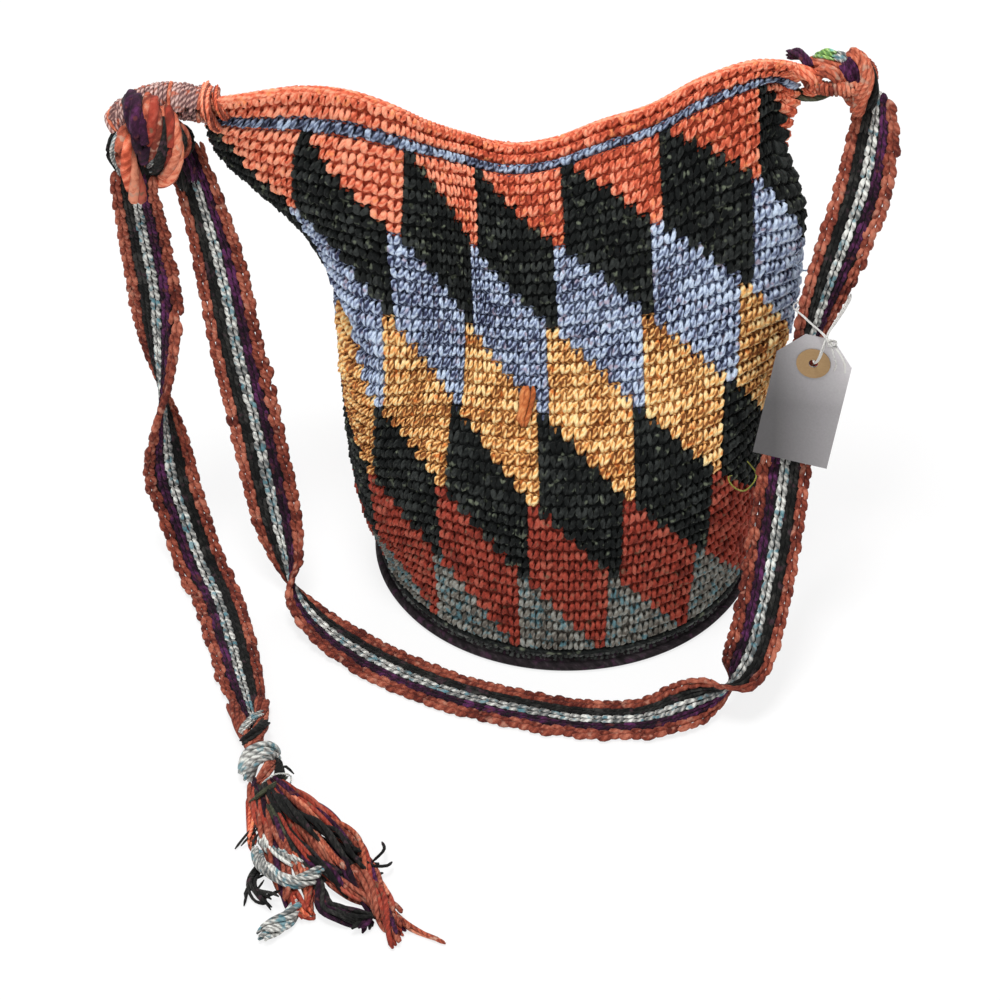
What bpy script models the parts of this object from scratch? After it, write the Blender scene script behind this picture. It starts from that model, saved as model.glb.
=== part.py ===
"""A crocheted cotton bucket bag with a long woven strap, standing on its round base.

The origin is the middle of the base on the floor, +Z is up and the front of the bag faces -Y.
Lengths are written in millimetres and turned into metres where they are used.
"""
import math

import bmesh
import bpy
from mathutils import Euler, Vector

MM = 0.001

# Crochet grid: stitches in a round, rows from the base edge to the rim
STITCHES = 96
BOTTOM_ROWS = 3
PATTERN_ROWS = 42
TOP_ROWS = 3
ROWS = BOTTOM_ROWS + PATTERN_ROWS + TOP_ROWS
WAIST_ROW = 17
FRONT_STITCH = -0.6
SEGMENTS = 40

# Sizes of the body
BASE_RADIUS = 105.0
BASE_EDGE = 8.0
WAIST_HALF_WIDTH = 118.0
WAIST_HEIGHT = 116.0
WALL = 4.5
RIDGE = 0.9
FRONT_BUNCHING = 4.0

# The line of the mouth: stitch number, x, y, z, clockwise from the left end along the front
MOUTH = (
    (-32.5, -193, 8, 305), (-28.5, -172, -10, 323), (-24.5, -142, -18, 334), (-20, -115, -26, 337),
    (-16.5, -89, -28, 328), (-12.5, -71, -18, 312), (-8.5, -54, -9, 299), (-4.5, -33, -3, 288),
    (-0.5, -9, -6, 294), (3.5, 16, -12, 310), (7.5, 42, -16, 323), (11.5, 68, -16, 340),
    (15.5, 98, -10, 347), (20.5, 124, 4, 333), (26, 98, 22, 312), (34, 42, 26, 280),
    (42, -20, 28, 255), (48.5, -71, 28, 259), (54, -115, 24, 286), (59.5, -160, 20, 296),
)

# How far each row has come from the waist (0) to the mouth (1), on each side of the bag
UPPER_ROWS = (17, 24, 31, 38, 44, 48)
DEPTH_SHARE_FRONT = (0.0, 0.40, 0.58, 0.70, 0.84, 1.0)
DEPTH_SHARE_BACK = (0.0, 0.05, 0.19, 0.43, 0.76, 1.0)
WIDTH_SHARE_LEFT = (0.0, 0.08, 0.26, 0.62, 0.90, 1.0)
WIDTH_SHARE_RIGHT = (0.0, 0.23, 0.45, 0.68, 0.87, 1.0)
HEIGHT_SHARE_FRONT = (0.0, 0.205, 0.46, 0.715, 0.915, 1.0)
HEIGHT_SHARE_LEFT = (0.0, 0.20, 0.43, 0.61, 0.83, 1.0)
HEIGHT_SHARE_RIGHT = (0.0, 0.20, 0.44, 0.74, 0.93, 1.0)
HEIGHT_SHARE_BACK = (0.0, 0.30, 0.58, 0.83, 0.975, 1.0)

# The soft wall slumps at the left front, where a crease folds over it
SLUMP_STITCH = -22.0
SLUMP_DROP = 20.0
SLUMP_TURN = 8.0
SLUMP_BULGE = 0.05
CREASE_DEPTH = 6.0
EAR_FOLD_DEPTH = 11.0
BUNCH_SHIFT = 8.0
RIGHT_BULGE = 8.0

# Diamond pattern: each new colour grows by a stitch a row in every eighth column
REPEAT = 8
PHASE_ROWS = 7
BANDS = ("orange", "pine", "lavender", "gold", "pine", "rust", "teal")

# Strap: a woven band with five lengthwise stripes
STRAP_WIDTH = 30.0
STRAP_THICKNESS = 3.2
STRIPE_SHARES = (0.22, 0.18, 0.20, 0.18, 0.22)
STRIPE_COLOURS = ("orange", "pine", "white", "purple", "orange")

# Yarn loops at the ends of the mouth
SEAT_GAP = 0.3
LEFT_LOOP_RADIUS = 9.0
LEFT_LOOP_PATH = ((-191.2, 8, 305), (-214, 12, 306.5), (-229, 13, 301), (-243, 14, 287))
LEFT_LOOP_TURNS = 13
RIGHT_LOOP_CENTRE = (143.4, 11, 324)
RIGHT_LOOP_HALF_LENGTH = 17.0
RIGHT_LOOP_HALF_WIDTH = 13.0
RIGHT_LOOP_CORD = 4.0

# The strap's route: x, y, z, then the direction of its far edge, then its share of full width
STRAP_PATH = (
    ((152, 11, 303), (0, -1, 0), 0.50), ((152, 11, 312), (0, -1, 0), 0.50),
    ((152.5, 11, 322), (0, -1, 0), 0.50), ((156, 11, 330), (0, -1, 0), 0.50),
    ((163, 10.5, 331.5), (0, -1, 0), 0.55), ((168.5, 9, 326), (0.1, -1, 0), 0.62),
    ((170, 5, 312), (0.5, -1, 0), 0.75), ((169, -3, 294), (1, -0.8, 0), 0.88),
    ((161.5, -15, 266.7), (1, -0.25, 0), 1.0), ((150.5, -26, 241.3), (1, 0, 0), 1.0),
    ((138.6, -36, 212.6), (1, 0.35, 0), 0.92), ((129.8, -43, 183), (0.7, 0.8, 0), 0.90),
    ((124, -49, 155), (-0.3, 1, 0), 0.92), ((120, -61, 123.5), (-1, 0.3, 0), 0.97),
    ((115, -84, 91.7), (-1, 0, 0), 1.0), ((108.4, -110, 62.6), (-1, -0.1, 0), 1.0),
    ((101.5, -127.5, 40), (-1, -0.1, 0), 1.0), ((94.5, -137, 27), (-0.85, 0.35, -0.35), 0.95),
    ((86, -141.5, 19), (0, 0.5, -0.85), 0.9), ((75, -144.5, 15.2), (0.35, -0.2, -0.9), 0.88),
    ((60, -147.5, 9.8), (0.1, -0.85, -0.5), 0.95),
    ((40, -149, 3.4), (0, -1, -0.05), 1.0), ((8, -148, 2.3), (-0.1, -1, 0), 1.0),
    ((-30, -139, 2.3), (-0.25, -1, 0), 1.0), ((-65, -126, 2.3), (-0.45, -1, 0), 1.0),
    ((-98, -107, 2.3), (-0.6, -1, 0), 1.0), ((-122, -89, 3.6), (-0.65, -1, 0.1), 1.0),
    ((-139, -74, 7.4), (-0.5, -1, 0.3), 0.96), ((-150, -60, 12.5), (-0.15, -1, 0.35), 0.90),
    ((-155, -50, 20), (0.35, -0.95, 0.25), 0.88), ((-158, -42, 32), (0.8, -0.6, 0.1), 0.93),
    ((-163.5, -33, 57), (1, -0.15, 0), 1.0),
    ((-173, -20, 108), (1, 0, 0), 1.0), ((-182, -9, 152), (1, 0, 0), 1.0),
    ((-189, 3, 192), (1, 0, 0), 0.98), ((-196, 9, 226), (1, 0, 0), 0.85),
    ((-205, 19, 255), (1, 0, 0), 0.75), ((-214, 26, 280), (1, 0, 0.1), 0.8),
    ((-221, 27.2, 299), (1, 0, 0.3), 0.85), ((-226, 22.8, 310), (1, 0, 0.4), 0.85),
    ((-228, 13, 314.8), (1, 0, 0.4), 0.85), ((-229.5, 2.6, 309.5), (1, 0, 0.4), 0.85),
    ((-230.5, -2, 298), (1, 0, 0.3), 0.85), ((-232, -3, 284), (1, 0, 0.1), 0.85),
    ((-234, -3, 266), (1, 0, 0), 0.85), ((-233.5, -1.5, 248), (1, 0, 0), 0.85),
    ((-231.5, 2, 228), (1, 0, 0), 0.92), ((-229.5, 5, 204), (1, 0, 0), 0.97),
    ((-227, 7, 176), (1, -0.1, 0), 1.0), ((-226, 1, 132), (0.7, -1, 0), 0.97),
    ((-225, -4, 96), (-0.4, -1, 0), 0.97), ((-222, -8, 58), (-1, -0.1, 0), 1.0),
    ((-214, -14, 26), (-1, 0, 0), 0.97), ((-206, -28, 8), (-1, -0.1, -0.1), 0.95),
    ((-196, -52, 3.5), (-1, -0.2, 0), 0.92), ((-188, -84, 3), (-1, -0.2, 0), 0.95),
    ((-181, -116, 4), (-1, -0.2, 0), 0.85), ((-175, -142, 6), (-1, -0.2, 0), 0.62),
    ((-171.2, -161.3, 8.6), (-1, -0.2, 0), 0.50),
)
STATIONS_PER_SPAN = 2

# The turn of strap that closes the knot over the loop and both legs: place, then share of full width
KNOT_PATH = (
    ((-227, 13, 318.5), 0.85), ((-226, 1, 316), 0.85), ((-224.5, -6, 305), 0.9), ((-221, -8.5, 292), 1.0),
    ((-217, -9, 276), 0.95), ((-213.5, -8, 263), 0.8), ((-212, -2, 256), 0.7), ((-211.5, 9, 253), 0.7),
    ((-212, 21, 255), 0.7), ((-214, 29, 264), 0.8), ((-217, 33, 282), 0.9), ((-221, 32.5, 300), 0.9),
    ((-225, 25.5, 313), 0.85),
)
KNOT_STRIPES = (3, 0, 2, 1, 0)

# Tassel on the strap's end, lying on the floor
WHIPPING_START = (-170.9, -162.3, 8.6)
WHIPPING_END = (-161.8, -203.0, 8.6)
WHIPPING_RADIUS = 8.4
WHIPPING_TURNS = 9
FRINGE_YARNS = 9
FRINGE_GAP = 0.8
FRINGE_YARN_RADIUS = 1.7
FRINGE_STEP = 1.5
FRINGE_LAYER = 3.9
FRINGE_LENGTHS = (84, 102, 115, 124, 131, 128, 133, 122, 112)
FRINGE_SPREAD = 9.0
FRINGE_CURVE = 52.0

# Paper tag tied on the strap
TAG_CENTRE = (127.5, -70, 166.2)
TAG_WIDTH = 41.3
TAG_LENGTH = 82.6
TAG_THICKNESS = 0.5
TAG_CLIP = 15.0
TAG_CLIP_WIDTH = 13.0
TAG_ROLL = 8.5
TAG_LEAN = 6.0
TAG_YAW = 10.0
TAG_HOLE_DROP = 17.0
TAG_HOLE_RADIUS = 2.6
TAG_RING_RADIUS = 9.3
TAG_RING_THICKNESS = 0.4
STRING_DIAMETER = 1.2
STRING_STATIONS = 2
STRING_PATH = (
    (148, -76, 190), (147.5, -77, 197), (144.5, -77, 204), (140.5, -75, 209), (136, -70, 211.5),
    (130.5, -62, 211.5), (125.5, -52, 210), (122.6, -45.5, 208.3), (124.5, -41.0, 207.3),
    (131, -37.3, 207), (139, -33.6, 206.8), (147, -29.6, 206.5), (151, -29.4, 206.3), (151, -34, 206.3),
    (147, -45, 207.5), (142.5, -58, 210), (138.6, -68, 211), (136.4, -74, 207.5), (134.3, -75.5, 200),
    (132.3, -73.2, 194.5), (131.6, -69.8, 192), (131.3, -66, 191.6), (131.2, -62.8, 192.6), (131.5, -60, 196.5),
    (132.2, -59, 202),
)

COLOURS = {
    "orange": (0.71, 0.145, 0.055), "pine": (0.018, 0.026, 0.020), "lavender": (0.30, 0.34, 0.56),
    "gold": (0.78, 0.42, 0.12), "rust": (0.31, 0.07, 0.045), "teal": (0.20, 0.24, 0.23),
    "slate": (0.20, 0.24, 0.34), "white": (0.62, 0.66, 0.60), "purple": (0.07, 0.010, 0.06),
    "card": (0.86, 0.86, 0.84), "tan": (0.52, 0.33, 0.17), "string": (0.85, 0.84, 0.80),
}


def clear_scene():
    for item in list(bpy.data.objects):
        bpy.data.objects.remove(item, do_unlink=True)


def material(name, roughness=0.9):
    found = bpy.data.materials.get(name)
    if found:
        return found
    made = bpy.data.materials.new(name)
    made.use_nodes = True
    shader = made.node_tree.nodes["Principled BSDF"]
    shader.inputs["Base Color"].default_value = (*COLOURS[name], 1.0)
    shader.inputs["Roughness"].default_value = roughness
    shader.inputs["Metallic"].default_value = 0.0
    return made


def add_object(name, bm, colours, sharp_angle=40.0):
    bmesh.ops.recalc_face_normals(bm, faces=bm.faces)
    mesh = bpy.data.meshes.new(name)
    bm.to_mesh(mesh)
    bm.free()
    for colour in colours:
        mesh.materials.append(material(colour))
    mesh.shade_smooth()
    mesh.set_sharp_from_angle(angle=math.radians(sharp_angle))
    made = bpy.data.objects.new(name, mesh)
    bpy.context.scene.collection.objects.link(made)
    return made


def smooth_step(low, high, x):
    t = min(max((x - low) / (high - low), 0.0), 1.0)
    return t * t * (3.0 - 2.0 * t)


def hermite(a, b, slope_a, slope_b, span, t):
    return ((2 * t**3 - 3 * t * t + 1) * a + (t**3 - 2 * t * t + t) * span * slope_a
            + (3 * t * t - 2 * t**3) * b + (t**3 - t * t) * span * slope_b)


def spline(keys, values, x):
    """A smooth curve through (key, value) pairs, for numbers."""
    last = len(keys) - 1
    x = min(max(x, keys[0]), keys[last])
    k = max(i for i in range(last) if keys[i] <= x)

    def slope(i):
        low, high = max(i - 1, 0), min(i + 1, last)
        return (values[high] - values[low]) / (keys[high] - keys[low])

    span = keys[k + 1] - keys[k]
    return hermite(values[k], values[k + 1], slope(k), slope(k + 1), span, (x - keys[k]) / span)


def around(stitch, centre):
    """The number of stitches from centre, the short way round."""
    return (stitch - centre + STITCHES / 2) % STITCHES - STITCHES / 2


def mouth_point(stitch):
    count = len(MOUTH)
    stitch = (stitch - MOUTH[0][0]) % STITCHES + MOUTH[0][0]
    k = max(i for i in range(count) if MOUTH[i][0] <= stitch)

    def key(i):
        return MOUTH[i % count][0] + STITCHES * (i // count)

    def point(i):
        return Vector(MOUTH[i % count][1:])

    def slope(i):
        return (point(i + 1) - point(i - 1)) / (key(i + 1) - key(i - 1))

    span = key(k + 1) - key(k)
    t = (stitch - key(k)) / span
    return hermite(point(k), point(k + 1), slope(k), slope(k + 1), span, t)


def round_angle(stitch):
    """The angle round the bag from the front; stitches sit closer at the front than at the sides."""
    even = math.radians(360.0 / STITCHES * (stitch - FRONT_STITCH))
    return even - math.radians(FRONT_BUNCHING) * math.sin(2.0 * even)


LOWER_ROWS = (0, 1.5, 3, 10, 17)


def lower_point(stitch, row):
    half_width = spline(LOWER_ROWS, (BASE_RADIUS - BASE_EDGE, BASE_RADIUS - 1.5, BASE_RADIUS,
                                     (BASE_RADIUS + WAIST_HALF_WIDTH) / 2, WAIST_HALF_WIDTH), row)
    half_depth = spline(LOWER_ROWS, (BASE_RADIUS - BASE_EDGE, BASE_RADIUS - 2, BASE_RADIUS,
                                     BASE_RADIUS, BASE_RADIUS), row)
    height = spline(LOWER_ROWS, (0, 4, 13, WAIST_HEIGHT * 0.56, WAIST_HEIGHT), row)
    angle = round_angle(stitch)
    return Vector((half_width * math.sin(angle), -half_depth * math.cos(angle), height))


def upper_point(stitch, row):
    waist = lower_point(stitch, WAIST_ROW)
    mouth = mouth_point(stitch)
    angle = round_angle(stitch)
    front = (1.0 + math.cos(angle)) / 2.0
    right = (1.0 + math.sin(angle)) / 2.0
    side = math.sin(angle) ** 2
    ahead = 1.0 if math.cos(angle) > 0 else 0.0

    def share(values):
        return spline(UPPER_ROWS, values, row)

    width_share = (1 - right) * share(WIDTH_SHARE_LEFT) + right * share(WIDTH_SHARE_RIGHT)
    depth_share = front * share(DEPTH_SHARE_FRONT) + (1 - front) * share(DEPTH_SHARE_BACK)
    facing = ahead * share(HEIGHT_SHARE_FRONT) + (1 - ahead) * share(HEIGHT_SHARE_BACK)
    flank = (1 - right) * share(HEIGHT_SHARE_LEFT) + right * share(HEIGHT_SHARE_RIGHT)
    height_share = side * flank + (1 - side) * facing
    step = mouth - waist
    return waist + Vector((width_share * step.x, depth_share * step.y, height_share * step.z))


def plain_wall(stitch, row):
    return lower_point(stitch, row) if row <= WAIST_ROW else upper_point(stitch, row)


def smooth_wall(stitch, row):
    """The middle surface of the wall, with its slump but without its creases, in millimetres."""
    point = plain_wall(stitch, row)
    ease = smooth_step(4, 9, row) * (1 - smooth_step(40, 45, row))
    if ease > 0:
        near = (plain_wall(stitch, row - 3) + plain_wall(stitch, row - 1.5) + point
                + plain_wall(stitch, row + 1.5) + plain_wall(stitch, row + 3)) / 5
        point = point.lerp(near, ease)
    slump = (math.exp(-(around(stitch, SLUMP_STITCH) / 6.5) ** 2)
             * smooth_step(3, 12, row) * (1 - smooth_step(25, 37, row)))
    turn = math.radians(SLUMP_TURN * slump)
    swell = 1.0 + SLUMP_BULGE * slump
    x = (math.cos(turn) * point.x - math.sin(turn) * point.y) * swell
    y = (math.sin(turn) * point.x + math.cos(turn) * point.y) * swell
    bunch = (math.exp(-(around(stitch, -13) / 5.0) ** 2)
             * smooth_step(17, 30, row) * (1 - smooth_step(40, 48, row)))
    bulge = (max(0.0, math.sin(round_angle(stitch))) ** 4
             * smooth_step(17, 27, row) * (1 - smooth_step(38, 47, row)))
    return Vector((x + BUNCH_SHIFT * bunch + RIGHT_BULGE * bulge, y, point.z - SLUMP_DROP * slump))


def wall_normal(stitch, row):
    along = smooth_wall(stitch + 0.5, row) - smooth_wall(stitch - 0.5, row)
    low, high = max(row - 0.5, 0.0), min(row + 0.5, float(ROWS))
    up = smooth_wall(stitch, high) - smooth_wall(stitch, low)
    return along.cross(up).normalized()


def fold_offset(stitch, row):
    """How far the creases press the wall in, in millimetres."""
    crease_row = 31.0 - 0.5 * around(stitch, -27.0)
    along_crease = smooth_step(-40, -30, around(stitch, 0)) * (1 - smooth_step(-21, -17, around(stitch, 0)))
    crease = CREASE_DEPTH * math.exp(-((row - crease_row) / 1.6) ** 2) * along_crease
    ear_fold = (EAR_FOLD_DEPTH * math.exp(-(around(stitch, 18.3) / 2.4) ** 2)
                * smooth_step(35, 41, row) * (1 - smooth_step(45, 47.5, row)))
    return -crease - ear_fold


def wall_point(stitch, row, outward):
    offset = outward + fold_offset(stitch, row)
    return (smooth_wall(stitch, row) + wall_normal(stitch, row) * offset) * MM


def stitch_colour(stitch, row):
    """The yarn of one stitch; row counts up from the base edge."""
    if row < BOTTOM_ROWS:
        return ("pine", "slate", "pine")[int(row)]
    if row >= BOTTOM_ROWS + PATTERN_ROWS:
        return ("slate", "orange", "orange")[min(int(row) - BOTTOM_ROWS - PATTERN_ROWS, 2)]
    down = BOTTOM_ROWS + PATTERN_ROWS - 1 - int(row)
    phase, step = divmod(down, PHASE_ROWS)
    place = (math.floor(stitch) + phase) % REPEAT
    return BANDS[phase + 1] if place <= step else BANDS[phase]


def ring_of(bm, points):
    return [bm.verts.new(point) for point in points]


def skin(bm, first, second):
    """Quads between two rings of as many vertices."""
    count = len(first)
    faces = []
    for i in range(count):
        j = (i + 1) % count
        faces.append(bm.faces.new((first[i], first[j], second[j], second[i])))
    return faces


def fan(bm, ring, centre):
    tip = bm.verts.new(centre)
    return [bm.faces.new((ring[i], ring[(i + 1) % len(ring)], tip)) for i in range(len(ring))]


def make_crochet_body():
    """Base, wall and rim as one fabric: every row is a ridge, and the diamonds are its colours."""
    bm = bmesh.new()
    colours = ["pine", "orange", "lavender", "gold", "rust", "teal", "slate"]
    stitches = [STITCHES * i / SEGMENTS for i in range(SEGMENTS)]
    middle = STITCHES / SEGMENTS / 2

    def ring(row, outward):
        return ring_of(bm, [wall_point(stitch, row, outward) for stitch in stitches])

    lower = ring(0, 0)
    for face in fan(bm, lower, (0, 0, 0)):
        face.material_index = 0
    for row in range(ROWS):
        crest = ring(row + 0.5, RIDGE)
        valley = ring(row + 1, -RIDGE if row < ROWS - 1 else 0)
        for strip in (skin(bm, lower, crest), skin(bm, crest, valley)):
            for stitch, face in zip(stitches, strip):
                face.material_index = colours.index(stitch_colour(stitch + middle, row))
        lower = valley
    for row in (ROWS - 0.6, 46, 43, 40, 36, 32, 28, 24, 20, 17, 12, 7, 4, 2.2):
        inner = ring(row, -WALL)
        for stitch, face in zip(stitches, skin(bm, lower, inner)):
            face.material_index = colours.index(stitch_colour(stitch + middle, min(row, ROWS - 1)))
        lower = inner
    for face in fan(bm, lower, (0, 0, (WALL + 1.0) * MM)):
        face.material_index = 0
    return add_object("crochet_body", bm, colours, 80)


def frames_along(points, across, stations_per_span, closed=False):
    """Places, tangents and side directions on a smooth curve through the points."""
    count = len(points)
    spans = count if closed else count - 1
    out = []

    def at(items, i):
        return items[i % count] if closed else items[min(max(i, 0), count - 1)]

    for span in range(spans):
        for step in range(stations_per_span + (1 if span == spans - 1 and not closed else 0)):
            t = step / stations_per_span
            values = []
            for items in (points, across):
                p0, p1, p2, p3 = (at(items, span + k) for k in (-1, 0, 1, 2))
                values.append(0.5 * (2 * p1 + (p2 - p0) * t + (2 * p0 - 5 * p1 + 4 * p2 - p3) * t * t
                                     + (3 * p1 - p0 - 3 * p2 + p3) * t**3))
            out.append(values)
    frames = []
    for i, (place, side) in enumerate(out):
        low = out[i - 1][0] if i or closed else place
        high = out[(i + 1) % len(out)][0] if i < len(out) - 1 or closed else place
        tangent = (high - low).normalized()
        side = (side - tangent * side.dot(tangent)).normalized()
        frames.append((place, tangent, side, tangent.cross(side)))
    return frames


def strap_section(width, thickness):
    """Points round the band, with the index of the stripe that follows each of them."""
    edges = [-0.5]
    for share in STRIPE_SHARES:
        edges.append(edges[-1] + share)
    half = thickness / 2
    top = [(edges[0] * width, 0.0)] + [(edge * width, half) for edge in edges[1:-1]]
    bottom = [(edges[-1] * width, 0.0)] + [(edge * width, -half) for edge in reversed(edges[1:-1])]
    return top + bottom, (0, 1, 2, 3, 4, 4, 3, 2, 1, 0)


def loft_strap(bm):
    points = [Vector(place) for place, side, share in STRAP_PATH]
    sides = [Vector(side).normalized() for place, side, share in STRAP_PATH]
    keys = list(range(len(STRAP_PATH)))
    shares = [share for place, side, share in STRAP_PATH]
    frames = frames_along(points, sides, STATIONS_PER_SPAN)
    last = None
    for i, (place, tangent, side, normal) in enumerate(frames):
        share = spline(keys, shares, i / STATIONS_PER_SPAN)
        section, stripes = strap_section(STRAP_WIDTH * share, STRAP_THICKNESS + (1 - share) * 2.0)
        ring = ring_of(bm, [(place + side * x + normal * z) * MM for x, z in section])
        if last is None:
            bm.faces.new(list(reversed(ring)))
        else:
            for stripe, face in zip(stripes, skin(bm, last, ring)):
                face.material_index = stripe
        last = ring
    bm.faces.new(last)


def make_shoulder_strap():
    """One woven band from the hitch on the right loop to the tassel, with its knot closed round it."""
    bm = bmesh.new()
    loft_strap(bm)
    strap = add_object("shoulder_strap", bm, STRIPE_COLOURS, 50)
    band = make_knot_band()
    join = strap.modifiers.new("knot", "BOOLEAN")
    join.operation = "UNION"
    join.solver = "EXACT"
    join.object = band
    return strap


def make_knot_band():
    """The outer turn of the knot, kept as a guide that the strap is joined to."""
    bm = bmesh.new()
    points = [Vector(place) for place, share in KNOT_PATH]
    shares = [share for place, share in KNOT_PATH] + [KNOT_PATH[0][1]]
    frames = frames_along(points, [Vector((1, 0, 0.3))] * len(points), STATIONS_PER_SPAN, closed=True)
    rings = []
    for i, (place, tangent, side, normal) in enumerate(frames):
        share = spline(list(range(len(shares))), shares, i / STATIONS_PER_SPAN)
        section, stripes = strap_section(STRAP_WIDTH * share, STRAP_THICKNESS)
        rings.append(ring_of(bm, [(place + side * x + normal * z) * MM for x, z in section]))
    for i, ring in enumerate(rings):
        for stripe, face in zip(stripes, skin(bm, ring, rings[(i + 1) % len(rings)])):
            face.material_index = KNOT_STRIPES[stripe]
    band = add_object("knot_band", bm, STRIPE_COLOURS, 50)
    band.hide_render = True
    band.display_type = "WIRE"
    return band


def tube(bm, frames, radii, sides):
    last = None
    for (place, tangent, side, normal), radius in zip(frames, radii):
        ring = ring_of(bm, [(place + side * radius * math.cos(2 * math.pi * k / sides)
                             + normal * radius * math.sin(2 * math.pi * k / sides)) * MM
                            for k in range(sides)])
        if last is None:
            bm.faces.new(list(reversed(ring)))
        else:
            skin(bm, last, ring)
        last = ring
    bm.faces.new(last)


def wound_tube(name, path, radius, turns, sides, colour):
    """A bundle wound with yarn: a ridge for every turn."""
    bm = bmesh.new()
    points = [Vector(place) for place in path]
    across = [Vector((0, 0, 1))] * len(points)
    spans = len(points) - 1
    per_span = max(2, round(2 * turns / spans))
    frames = frames_along(points, across, per_span)
    radii = [radius - (0.8 if i % 2 else 0.0) for i in range(len(frames))]
    radii[0] = radii[-1] = radius - 1.5
    tube(bm, frames, radii, sides)
    return add_object(name, bm, [colour])


def make_right_rim_loop():
    """A cord loop standing out of the right end of the mouth, squared so that the strap lies flat on it."""
    bm = bmesh.new()
    centre = Vector(RIGHT_LOOP_CENTRE)
    count = 28
    points = []
    for i in range(count):
        angle = 2 * math.pi * i / count
        c, s = math.cos(angle), math.sin(angle)
        points.append(centre + Vector((RIGHT_LOOP_HALF_LENGTH * math.copysign(abs(c) ** 0.7, c),
                                       RIGHT_LOOP_HALF_WIDTH * math.copysign(abs(s) ** 0.7, s), 0)))
    frames = frames_along(points, [Vector((0, 0, 1))] * count, 1, closed=True)
    rings = []
    for place, tangent, side, normal in frames:
        rings.append(ring_of(bm, [(place + side * RIGHT_LOOP_CORD * math.cos(math.pi * k / 4)
                                   + normal * RIGHT_LOOP_CORD * math.sin(math.pi * k / 4)) * MM
                                  for k in range(8)]))
    for i, ring in enumerate(rings):
        skin(bm, ring, rings[(i + 1) % count])
    return add_object("right_rim_loop", bm, ["orange"])


def make_fringe():
    """The strap's loose warp ends, fanned out over the floor from the whipping."""
    start = Vector(WHIPPING_END)
    ahead = (start - Vector(WHIPPING_START)).normalized()
    across = ahead.cross(Vector((0, 0, 1))).normalized()
    for i in range(FRINGE_YARNS):
        lateral = (i - (FRINGE_YARNS - 1) / 2) * FRINGE_STEP
        layer = (i % 3 - 1) * FRINGE_LAYER
        length = FRINGE_LENGTHS[i]
        points = []
        for step in range(8):
            t = step / 7
            run = FRINGE_GAP + t * length
            spread = lateral * (1 + FRINGE_SPREAD * t**1.3)
            bend = -FRINGE_CURVE * (t * length / max(FRINGE_LENGTHS)) ** 2
            low = FRINGE_YARN_RADIUS + 0.1 - start.z
            height = layer + (low - layer) * smooth_step(0.3, 0.95, t)
            points.append(start + ahead * run + across * (spread + bend) + Vector((0, 0, height)))
        bm = bmesh.new()
        frames = frames_along(points, [Vector((0, 0, 1))] * len(points), 1)
        radii = [FRINGE_YARN_RADIUS] * (len(frames) - 1) + [FRINGE_YARN_RADIUS * 0.6]
        tube(bm, frames, radii, 6)
        colour = ("orange", "purple", "orange", "white", "orange", "pine")[i % 6]
        add_object(f"fringe_yarn_{i + 1}", bm, [colour])


def tag_place(right, up, out):
    """A point in the tag's own plane, measured from the middle of its front face."""
    turn = Euler((math.radians(-TAG_LEAN), math.radians(TAG_ROLL), math.radians(-TAG_YAW)))
    return (Vector(TAG_CENTRE) + turn.to_matrix() @ Vector((right, -out, up))) * MM


def pierced_plate(name, outline, hole, hole_radius, back, front, colour):
    """A flat plate in the tag's plane with one round hole that has a point for each point of the outline."""
    bm = bmesh.new()
    rings = [ring_of(bm, [tag_place(x, z, out) for x, z in outline]) for out in (front, back)]
    for out in (back, front):
        ring = []
        for x, z in outline:
            angle = math.atan2(z - hole[1], x - hole[0])
            ring.append(bm.verts.new(tag_place(hole[0] + hole_radius * math.cos(angle),
                                               hole[1] + hole_radius * math.sin(angle), out)))
        rings.append(ring)
    for i in range(len(rings)):
        skin(bm, rings[i], rings[(i + 1) % len(rings)])
    return add_object(name, bm, [colour], 30)


def tag_outline():
    """The card's edge with its two clipped corners, with points enough for the hole's circle."""
    half, top = TAG_WIDTH / 2, TAG_LENGTH / 2
    inner, shoulder = half - TAG_CLIP_WIDTH, top - TAG_CLIP
    corners = [(half, -top), (half, 0), (half, shoulder), (inner, top), (0, top), (-inner, top),
               (-half, shoulder), (-half, 0), (-half, -top), (0, -top)]
    out = []
    for i, corner in enumerate(corners):
        after = corners[(i + 1) % len(corners)]
        out.append(corner)
        out.append(((corner[0] + after[0]) / 2, (corner[1] + after[1]) / 2))
    return out


def make_hang_tag():
    hole = (0.0, TAG_LENGTH / 2 - TAG_HOLE_DROP)
    pierced_plate("hang_tag", tag_outline(), hole, TAG_HOLE_RADIUS, -TAG_THICKNESS, 0.0, "card")
    circle = [(hole[0] + TAG_RING_RADIUS * math.cos(math.pi * k / 10),
               hole[1] + TAG_RING_RADIUS * math.sin(math.pi * k / 10)) for k in range(20)]
    pierced_plate("tag_ring", circle, hole, TAG_HOLE_RADIUS, SEAT_GAP, SEAT_GAP + TAG_RING_THICKNESS, "tan")


def make_tag_string():
    """The string from its loose end, once round the strap and down through the tag's hole."""
    points = [Vector(place) for place in STRING_PATH]
    frames = frames_along(points, [Vector((0.3, 1, 0.2))] * len(points), STRING_STATIONS)
    curve = bpy.data.curves.new("tag_string", "CURVE")
    curve.dimensions = "3D"
    curve.bevel_depth = STRING_DIAMETER / 2 * MM
    curve.bevel_resolution = 2
    curve.use_fill_caps = True
    route = curve.splines.new("POLY")
    route.points.add(len(frames) - 1)
    for point, frame in zip(route.points, frames):
        point.co = (*(frame[0] * MM), 1.0)
    curve.materials.append(material("string"))
    made = bpy.data.objects.new("tag_string", curve)
    bpy.context.scene.collection.objects.link(made)


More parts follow.
